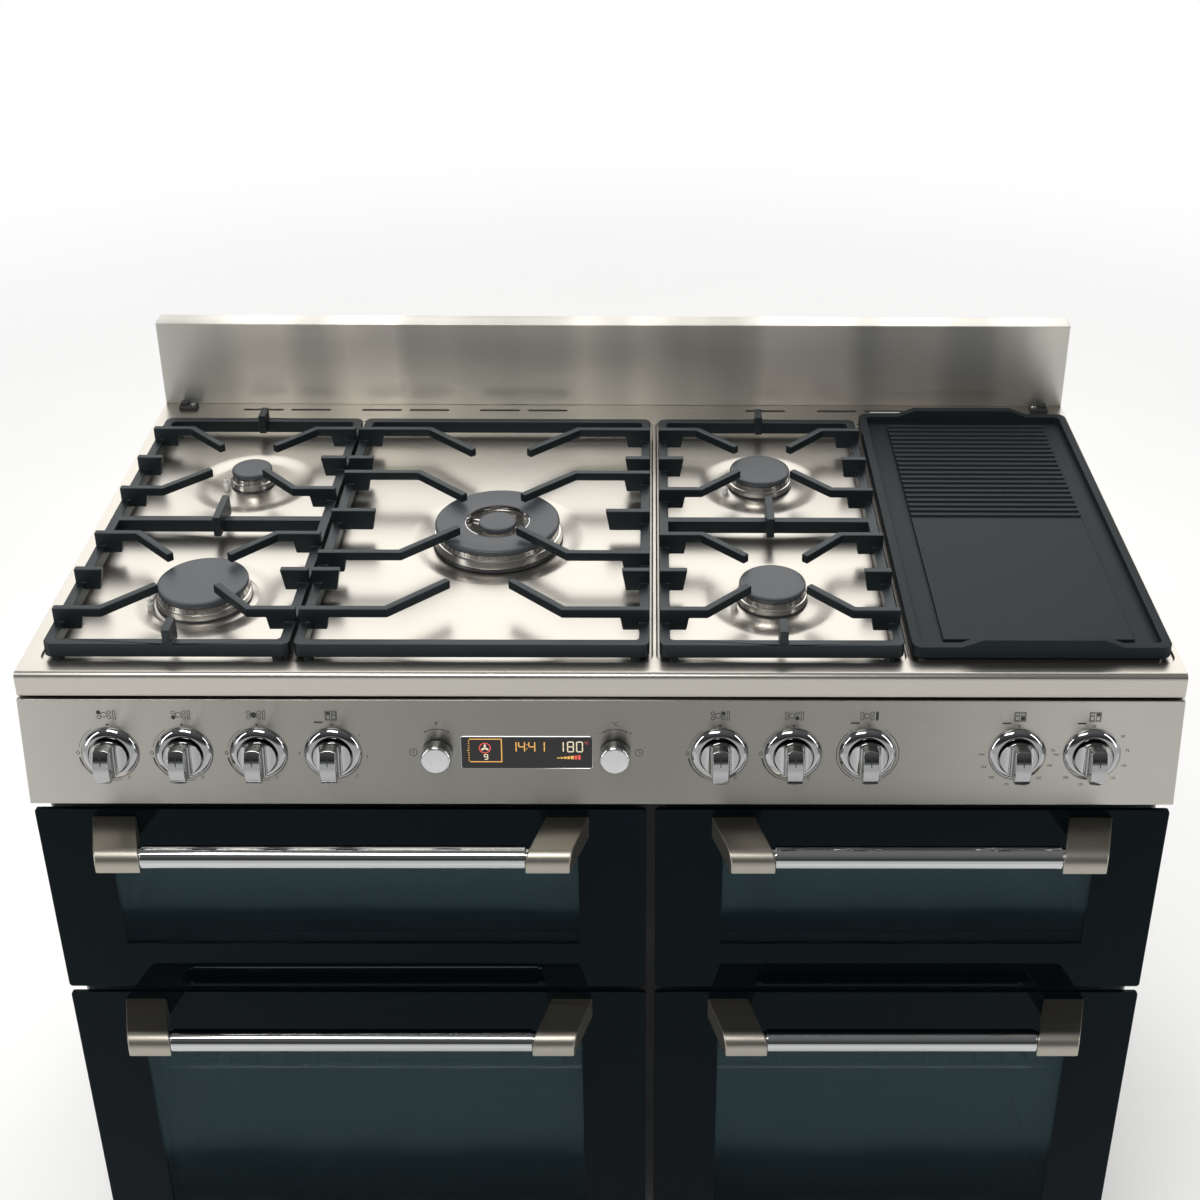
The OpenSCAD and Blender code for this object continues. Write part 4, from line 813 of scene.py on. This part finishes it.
# %% Programmer knobs
satin_face = polished("satin_face", (0.70, 0.70, 0.71), 0.33, 0.1)
ENCODERS = {"program_knob": -157.4, "temperature_knob": 11.5}
DOWN_ENCODER = 55.8
DRUM = [(3.2, 2.5), (13.8, 2.5), (14.4, 3.1), (14.5, 4), (14.5, 13.8), (14.2, 15.1), (13.2, 16.1),
        (12.4, 16.4), (3.2, 16.4), (3.2, 2.5)]
FACE = [(0, 16.2), (11.9, 16.2), (11.9, 16.5), (11.5, 16.7), (0, 17.0)]
for cad_name, x in ENCODERS.items():
    axis = on_panel(x, DOWN_ENCODER)
    drum = moved(spun(DRUM, 96), axis)
    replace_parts(finish_piece(cad_name + "_drum", drum, chrome, cad_name), cad_name)
    face = moved(spun(FACE, 72), axis)
    finish_piece(cad_name + "_face", face, satin_face, cad_name)
print("programmer knobs:", len(ENCODERS))

# %% [markdown]
# ## Doors
#
# Behind every handle is a sheet of dark glass over a grey liner. The handle is a chrome bar
# between two nickel brackets that reach forward and lean inwards. Glass, brackets and bar
# keep their CAD shapes with their edges eased.

# %% Doors
for kind in DOORS:
    body = kind + "_door"
    for cad_part, made_part, width, segments, sharper, finish, slot in (
            ("_glass", "_panes", 0.5, 2, 40, glass_finish[kind], "door_glass"),
            ("_brackets", "_arms", 1.2, 3, 32, nickel, "satin_nickel"),
            ("_handle_bar", "_bar", 0.6, 2, 60, chrome, "chrome")):
        part_mesh = soften(cad_copy(body + cad_part), width, segments, sharper)
        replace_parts(finish_piece(body + made_part, part_mesh, finish, body), body + cad_part)
print("doors:", list(DOORS))

# %% [markdown]
# ## Print on the panel
#
# The marks beside the knobs are thin black print. Each mark is a flat sheet built from arcs,
# discs, bars and text, given a hair of thickness at the end.

# %% Print helpers
def arc_strip(r_in, r_out, start=0, end=360, steps=24):
    """A flat strip from start to end degrees, clockwise from the top."""
    mesh = bmesh.new()
    pair = [mesh.verts.new((0, r * MM, 0)) for r in (r_in, r_out)]
    edge = mesh.edges.new(pair)
    first_turn = Matrix.Rotation(radians(-start), 3, "Z")
    bmesh.ops.rotate(mesh, cent=(0, 0, 0), matrix=first_turn, verts=pair)
    bmesh.ops.spin(mesh, geom=pair + [edge], axis=(0, 0, -1), cent=(0, 0, 0), dvec=(0, 0, 0),
                   angle=radians(end - start), steps=steps, use_merge=abs(end - start) > 359)
    return mesh


def disc(r, steps=24):
    """A flat disc, or a triangle when it has three steps."""
    mesh = bmesh.new()
    bmesh.ops.create_circle(mesh, cap_ends=True, segments=steps, radius=r * MM)
    return mesh


def bar(width, tall):
    mesh = bmesh.new()
    bmesh.ops.create_grid(mesh, x_segments=1, y_segments=1, size=0.5)
    bmesh.ops.scale(mesh, vec=Vector((width, tall, 1)) * MM, verts=mesh.verts)
    return mesh


def shift(right, up):
    return Matrix.Translation(Vector((right, up, 0)) * MM)


def frame_lines(width, tall, line):
    """The outline of a rectangle as four thin bars."""
    pieces = []
    for side in (-1, 1):
        pieces.append(moved(bar(width, line), shift(0, side * (tall - line) / 2)))
        pieces.append(moved(bar(line, tall - 2 * line), shift(side * (width - line) / 2, 0)))
    return joined(*pieces)


BOLD = 0.012


def letters(words, size):
    """Generic figures and signs as a flat mesh, centred."""
    curve = bpy.data.curves.new("figures", "FONT")
    curve.body, curve.size = words, size * MM
    curve.align_x, curve.align_y = "CENTER", "CENTER"
    curve.offset = size * BOLD * MM
    holder = bpy.data.objects.new("figures", curve)
    flat = bpy.data.meshes.new_from_object(holder)
    mesh = bmesh.new()
    mesh.from_mesh(flat)
    bmesh.ops.remove_doubles(mesh, verts=mesh.verts, dist=2e-6)
    bmesh.ops.dissolve_degenerate(mesh, edges=mesh.edges, dist=2e-6)
    bpy.data.objects.remove(holder)
    bpy.data.curves.remove(curve)
    bpy.data.meshes.remove(flat)
    return mesh


def dial(angle, radius):
    """A spot on the dial, clockwise from the top."""
    return shift(radius * sin(radians(angle)), radius * cos(radians(angle)))


print("print helpers ready")

# %% [markdown]
# Every gas knob has a map of the hob with its own burner filled in, a dot for off, a large
# flame on the left, an arc that gets thinner from there, and a small flame at its end.

# %% Marks beside the gas knobs
def burner_map(active):
    spots = [(-7.0, 2.5, 2.0), (-7.0, -2.5, 2.0), (-2.2, 0, 2.9), (2.8, 2.5, 2.0), (2.8, -2.5, 2.0)]
    parts = []
    for index, (right, up, r) in enumerate(spots):
        shape = disc(r + 0.2) if index == active else arc_strip(r - 0.62, r + 0.05)
        parts.append(moved(shape, shift(right, up)))
    hot_plate = bar(2.6, 9.4) if active == 5 else frame_lines(2.8, 9.4, 0.65)
    parts.append(moved(hot_plate, shift(7.4, 0)))
    return joined(*parts)


def flame(size):
    parts = [arc_strip(size * 0.62, size, 60, 300, 18)]
    for side in (-1, 1):
        lean = shift(side * size * 0.45, size * 0.95) @ Matrix.Rotation(radians(side * 32), 4, "Z")
        parts.append(moved(bar(size * 0.32, size * 1.5), lean))
    return joined(*parts)


ICON_DOWN, OFF_DOWN = 16, 26.6
NO_TURN = Matrix.Identity(4)
print_meshes = []


def stamp(mesh, x, down, matrix=NO_TURN):
    print_meshes.append(moved(mesh, on_panel(x, down, out=0.06) @ matrix))


GAS = ("gas_knob_rear_left", "gas_knob_front_left", "gas_knob_wok", "gas_knob_rear_right",
       "gas_knob_front_right")
GAS_ARCS = ((29.5, 29.95, -78, -32), (29.1, 30.6, -118, -99), (29.3, 30.3, -150, -118),
            (29.5, 30.0, -196, -150))
for active, cad_name in enumerate(GAS):
    x = KNOBS[cad_name]
    stamp(burner_map(active), x, ICON_DOWN)
    stamp(disc(1.1), x, OFF_DOWN)
    for arc in GAS_ARCS:
        stamp(arc_strip(*arc), x, KNOB_DOWN)
    for size, angle in ((1.7, -90), (1.3, -210)):
        stamp(flame(size), x, KNOB_DOWN, dial(angle, 30.6))
print("gas marks:", len(print_meshes))

# %% [markdown]
# The oven knobs have a map of the four compartments, a small ring for off, a dash, and figures
# around the dial. The hot-zone knob has an arc on each side instead of figures.

# %% Marks beside the oven knobs
def oven_map(active):
    cells = {"grill": (-2.7, 2.5, 4.2, 3.0), "main": (-2.7, -1.8, 4.2, 4.6),
             "small": (2.7, 2.5, 4.2, 3.0), "tall": (2.7, -1.8, 4.2, 4.6)}
    parts = [frame_lines(11.4, 10.2, 0.6)]
    for kind, (right, up, width, tall) in cells.items():
        cell = bar(width, tall) if kind == active else frame_lines(width, tall, 0.6)
        parts.append(moved(cell, shift(right, up)))
    return joined(*parts)


def stamp_off(x, dash_left):
    stamp(arc_strip(0.8, 1.4), x, OFF_DOWN)
    stamp(bar(8.2, 1.6), x - dash_left, 23.6)


WARM = {"75": 83, "100": 111, "125": 139, "150": 166, "175": 194, "200": 222}
OVEN_FIGURES = {
    ("grill_knob", "grill"): {"1": 53, "2": 96, "3": 139, "4": 270},
    ("tall_oven_knob", "tall"): {**WARM, "225": 246, "max": 270},
    ("small_oven_knob", "small"): {"50": 55, **WARM, "max": 270},
}
for (cad_name, compartment), figures in OVEN_FIGURES.items():
    x = KNOBS[cad_name]
    stamp(oven_map(compartment), x, ICON_DOWN + 0.5)
    stamp_off(x, 12.2)
    for words, angle in figures.items():
        size = 4.0 if len(words) < 3 else 3.6
        reach = 32.2 if len(words) == 1 else 34.0
        stamp(letters(words, size), x, KNOB_DOWN, dial(angle, reach))
x = KNOBS["hot_zone_knob"]
stamp(burner_map(5), x, ICON_DOWN)
stamp_off(x, 13.2)
for side in (-1, 1):
    stamp(arc_strip(29.5, 30.2, side * 150, side * 40), x, KNOB_DOWN)
    stamp(arc_strip(0.8, 1.2), x, KNOB_DOWN, dial(side * 34, 30.5))
    stamp(bar(2.8, 0.5), x, KNOB_DOWN, dial(side * 156, 31.5))
print("marks:", len(print_meshes))

# %% [markdown]
# Each programmer knob has a letter or sign over an arc with two arrow heads. A clock stands on
# the right of them, a ring with a stroke on the left, and a minus and a plus over the right
# knob. Then all the print becomes one piece.

# %% Marks beside the programmer
for x, sign in ((ENCODERS["program_knob"], "P"), (ENCODERS["temperature_knob"], "°C")):
    stamp(letters(sign, 5.4), x, DOWN_ENCODER, shift(0, 30.5))
    stamp(arc_strip(22.1, 22.9, -26, 26), x, DOWN_ENCODER, shift(0, 2.5))
    for side in (-1, 1):
        point = dial(side * 29, 22.5) @ Matrix.Rotation(radians(-side * 29 - side * 90), 4, "Z")
        stamp(disc(1.5, 3), x, DOWN_ENCODER, shift(0, 2.5) @ point)
right_x, clock_x = ENCODERS["temperature_knob"], ENCODERS["temperature_knob"] + 22.8
switch_x = ENCODERS["program_knob"] - 22.8
for mark, x, right, up in (
        (bar(2.6, 0.5), right_x, -14.5, 20.5),
        (bar(2.6, 0.5), right_x, 14.5, 20.5),
        (bar(0.5, 2.6), right_x, 14.5, 20.5),
        (arc_strip(3.4, 4.0), clock_x, 0, 0),
        (bar(0.6, 2.6), clock_x, 0, 1.2),
        (bar(2.2, 0.6), clock_x, 1.0, 0),
        (arc_strip(3.4, 4.0), switch_x, 0, 0),
        (bar(0.7, 3.6), switch_x, 0, 0)):
    stamp(mark, x, DOWN_ENCODER, shift(right, up))

print_mesh = joined(*print_meshes)
bmesh.ops.recalc_face_normals(print_mesh, faces=print_mesh.faces)
bmesh.ops.solidify(print_mesh, geom=print_mesh.faces[:], thickness=0.00004)
panel_print = finish_piece("panel_print", print_mesh, ink, "cooker_body",
                           weighted=False)
print("print faces:", len(panel_print.data.polygons))

# %% [markdown]
# ## The display
#
# The display is black glass in a thin bright frame. Its figures glow amber: a rounded box for
# the oven with a red ring round a fan, the clock, and the temperature over a wedge that ends
# in red. Each figure is built from the bars of a seven-segment digit.

# %% Display figures
def glowing(name, tone, strength):
    light = Finish(name, Base_Color=(0.02, 0.015, 0.01), Roughness=0.3)
    ripple = light.noise(900.0, (1, 1, 1), 1.0)
    light.set("Emission_Color", light.between(ripple, tone, tuple(v * 0.9 for v in tone)))
    light.set("Emission_Strength", strength)
    return light


amber = glowing("display_amber", (1.0, 0.52, 0.11), 0.95)
red = glowing("display_red", (0.95, 0.10, 0.08), 0.9)
pale = glowing("display_pale", (1.0, 0.86, 0.62), 0.95)
DIGITS = {"0": "abcdef", "1": "bc", "4": "bcfg", "8": "abcdefg", "9": "abcdfg"}


def digit(sign, width, tall, line):
    half_w, half_t = (width - line) / 2, (tall - line) / 2
    spots = {
        "a": (0, half_t, 0), "g": (0, 0, 0), "d": (0, -half_t, 0),
        "b": (half_w, half_t / 2, 1), "c": (half_w, -half_t / 2, 1),
        "f": (-half_w, half_t / 2, 1), "e": (-half_w, -half_t / 2, 1),
    }
    parts = []
    for key in DIGITS[sign]:
        right, up, upright = spots[key]
        stroke = bar(line, half_t - line * 0.5) if upright else bar(width - line * 1.5, line)
        parts.append(moved(stroke, shift(right, up)))
    return joined(*parts)


DISPLAY_X, DISPLAY_W, DISPLAY_H = -72.45, 125, 34.4
glow_groups = {"amber": [], "red": [], "pale": []}


def show(group, mesh, right, up):
    spot = on_panel(DISPLAY_X, DOWN_ENCODER, right=right, up=up, out=0.5)
    glow_groups[group].append(moved(mesh, spot))


for up in (12.2, -12.2):
    show("amber", moved(bar(31.0, 1.0), shift(0.6, up)), -39.5, 2.4)
show("amber", bar(1.0, 23.4), -23.9, 2.4)
for step in range(9):
    wide, right = (1.9, -55.6) if step == 4 else (1.2, -55.0)
    show("amber", bar(wide, 1.0), right, 2.4 + (step - 4) * 2.6)
show("red", arc_strip(4.7, 5.7, steps=40), -39.7, 5.0)
for blade in range(3):
    leaf = moved(disc(1.3, 14), Matrix.Diagonal((0.8, 1.5, 1, 1)))
    turned = Matrix.Rotation(radians(120 * blade), 4, "Z") @ shift(0, 2.1)
    show("pale", moved(leaf, turned), -39.7, 5.0)
show("pale", digit("9", 4.2, 6.2, 0.9), -38.9, -4.6)
for sign, right in (("1", -12.8), ("4", -4.8), ("4", 4.9), ("1", 14.0)):
    show("amber", digit(sign, 6.6, 11.6, 1.1), right, 6.4)
for up in (4.2, 8.6):
    show("amber", disc(0.55, 12), 0.2, up)
for sign, right in (("1", 32.0), ("8", 41.6), ("0", 50.2)):
    show("pale", digit(sign, 6.6, 11.6, 1.1), right, 6.4)
show("red", letters("°C", 3.6), 56.6, 10.4)
for step in range(7):
    group = "red" if step > 4 else "amber"
    show(group, bar(2.6, 1.1 + step * 0.62), 30.0 + step * 3.3, -5.6 + step * 0.12)
glow_finish = {"amber": amber, "red": red, "pale": pale}
for group, meshes in glow_groups.items():
    glow_mesh = joined(*meshes)
    bmesh.ops.recalc_face_normals(glow_mesh, faces=glow_mesh.faces)
    bmesh.ops.solidify(glow_mesh, geom=glow_mesh.faces[:], thickness=0.00006)
    finish_piece("display_" + group, glow_mesh, glow_finish[group], "cooker_body",
                 weighted=False)
print("glowing parts:", {k: len(v) for k, v in glow_groups.items()})

# %% [markdown]
# The frame starts as one rounded outline. Each extrusion makes the next section of its profile,
# which rises, turns inwards and drops to the glass.

# %% Display glass and frame
display_mesh = soften(cad_copy("programmer_display"), 0.3, 2, sharper=60)
display_glass = finish_piece("display_glass", display_mesh, display_black, "cooker_body")
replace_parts(display_glass, "programmer_display")


def rounded_frame(sections, steps=6):
    """A rounded rectangle drawn once, then extruded and reshaped section by section."""
    mesh = bmesh.new()
    bmesh.ops.create_circle(mesh, segments=4 * steps, radius=1, cap_ends=False)
    ring_edges = mesh.edges[:]
    ring = sorted(mesh.verts, key=lambda v: atan2(v.co.y, v.co.x))
    turns = [atan2(v.co.y, v.co.x) for v in ring]
    for index, (width, tall, radius, z) in enumerate(sections):
        if index:
            grown = bmesh.ops.extrude_edge_only(mesh, edges=ring_edges)["geom"]
            ring_edges = [g for g in grown if isinstance(g, bmesh.types.BMEdge)
                          and all(v in grown for v in g.verts)]
            ring = [v for v in grown if isinstance(v, bmesh.types.BMVert)]
            ring.sort(key=lambda v: atan2(v.co.y, v.co.x))
        for vert, way in zip(ring, turns):
            side, lift = (1 if cos(way) > 0 else -1), (1 if sin(way) > 0 else -1)
            vert.co = Vector((side * (width / 2 - radius) + radius * cos(way),
                              lift * (tall / 2 - radius) + radius * sin(way), z)) * MM
    return mesh


FRAME_SECTIONS = ((1.0, 2.8, -0.3), (1.0, 2.8, 0.3), (0.5, 2.6, 0.52), (-0.4, 2.2, 0.52),
                  (-0.8, 2.0, 0.36))
frame_mesh = rounded_frame([(DISPLAY_W + grow, DISPLAY_H + grow, corner, z)
                            for grow, corner, z in FRAME_SECTIONS])
bmesh.ops.recalc_face_normals(frame_mesh, faces=frame_mesh.faces)
moved(frame_mesh, on_panel(DISPLAY_X, DOWN_ENCODER))
finish_piece("display_frame", frame_mesh, chrome_painted_darker, "cooker_body")
print("display frame sections:", len(FRAME_SECTIONS))

# %% [markdown]
# ## Oven fronts
#
# Behind the doors a thin black coat lies on the front of the carcass, and it makes the gaps
# between the doors dark. We take the front faces of the CAD frame, which lie 28 mm behind the
# hob's edge, and lay them over it as a thin coat.

# %% Oven fronts
coat_mesh = bmesh.new()
coat_mesh.from_mesh(frame["nodes"]["chassis_frame"].data)
bmesh.ops.remove_doubles(coat_mesh, verts=coat_mesh.verts, dist=2e-6)
front_y = place(0, 28, 0).y
elsewhere = [f for f in coat_mesh.faces
             if abs(f.calc_center_median().y - front_y) > 0.0003 or f.normal.y > -0.9]
bmesh.ops.delete(coat_mesh, geom=elsewhere, context="FACES")
grown = bmesh.ops.extrude_face_region(coat_mesh, geom=coat_mesh.faces[:])
coat_verts = [g for g in grown["geom"] if isinstance(g, bmesh.types.BMVert)]
bmesh.ops.translate(coat_mesh, verts=coat_verts, vec=(0, -0.00012, 0))
front_coat = finish_piece("oven_front_dark_coat", coat_mesh, front_dark_coat, "cooker_body",
                          weighted=False)
print("front coat faces:", len(front_coat.data.polygons))

# %% [markdown]
# ## The rear cover
#
# The rear cover is a plain zinc-coated sheet, stiffened by raised ribs and held by flat screws.
# Its face is set back by the height of the ribs, so that the cooker keeps its depth.

# %% Rear cover
RIB = 0.9
cover = cad_copy("back_panel")
outer_face = max(v.co.y for v in cover.verts)
set_back = [v for v in cover.verts if v.co.y > outer_face - 0.0001]
bmesh.ops.translate(cover, verts=set_back, vec=(0, -RIB * MM, 0))
cover_piece = finish_piece("rear_cover", cover, zinc, "cooker_body")
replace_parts(cover_piece, "back_panel")
face_y = outer_face / MM - EDGE_Y - RIB / 2
rib_meshes = [brick(14, RIB, 560, at(x, face_y, 470), 0.4, 2) for x in (-430, -145, 145, 430)]
rib_meshes += [brick(836, RIB, 10, at(0, face_y, z), 0.4, 2) for z in (168, 772)]
for column in range(12):
    rib_meshes.append(brick(46, RIB, 5, at(-385 + column * 70, face_y, 822), 0.4, 2))
finish_piece("rear_cover_ribs", joined(*rib_meshes), zinc, "cooker_body")
flat_screw = [(0, -0.4), (4.4, -0.4), (4.4, 0.2), (3.6, 0.8), (1.2, 0.8), (1.0, 0.4), (0, 0.4)]
rear_screws = []
for x in (-536, -270, 0, 270, 536):
    for z in (112, 862):
        facing = at(x, outer_face / MM - EDGE_Y - 0.85, z) @ Matrix.Rotation(-pi / 2, 4, "X")
        rear_screws.append(moved(spun(flat_screw, 20), facing))
finish_piece("rear_cover_screws", joined(*rear_screws), rack_wire, "cooker_body")
print("rear cover ribs:", len(rib_meshes), "screws:", len(rear_screws))

# %% [markdown]
# ## Small parts
#
# A thin black sheet lies under the vent slots of the hob as painted shade, so that they look
# deep. Two black clips with a screw hold the rear corners of the hob, beside the splashback.

# %% Painted vent shade and corner clips
# Painted shade: a black sheet just under the vent slots stands in for the dark inside the cooker.
vent_shade_sheet = brick(770, 17, 0.4, at(-72, 561.5, HOB_Z - 2.25))
finish_piece("vent_painted_shade", vent_shade_sheet, plastic, "cooker_body", weighted=False)
CLIP_SCREW = [(0, 0), (3.2, 0), (3.1, 0.8), (2.2, 1.6), (0, 2.0)]
clip_meshes, screw_meshes = [], []
for side in (-1, 1):
    clip_meshes.append(brick(22, 13, 5, at(side * 519, 560, HOB_Z + 2.4), 1.5, 3))
    clip_meshes.append(brick(9, 9, 4, at(side * 524, 562, HOB_Z + 6), 1.2, 2))
    screw_meshes.append(moved(spun(CLIP_SCREW, 28), at(side * 513, 559, HOB_Z + 4.8)))
finish_piece("corner_clips", joined(*clip_meshes), plastic, "cooker_body")
finish_piece("corner_screws", joined(*screw_meshes), chrome, "cooker_body")
print("clips:", len(screw_meshes))

# %% [markdown]
# ## Check the size and finish
#
# The dressed cooker has to stay inside the box of the CAD model. We print how far its box
# reaches past the CAD box at the low and the high corner.

# %% Sizes and finish
new_low, new_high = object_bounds()
grown_low, grown_high = ([round(a - b, 5) for a, b in zip(new, old)]
                         for new, old in ((new_low, cad_low), (new_high, cad_high)))
print("pieces:", len(made_pieces), "grew low", grown_low, "high", grown_high)
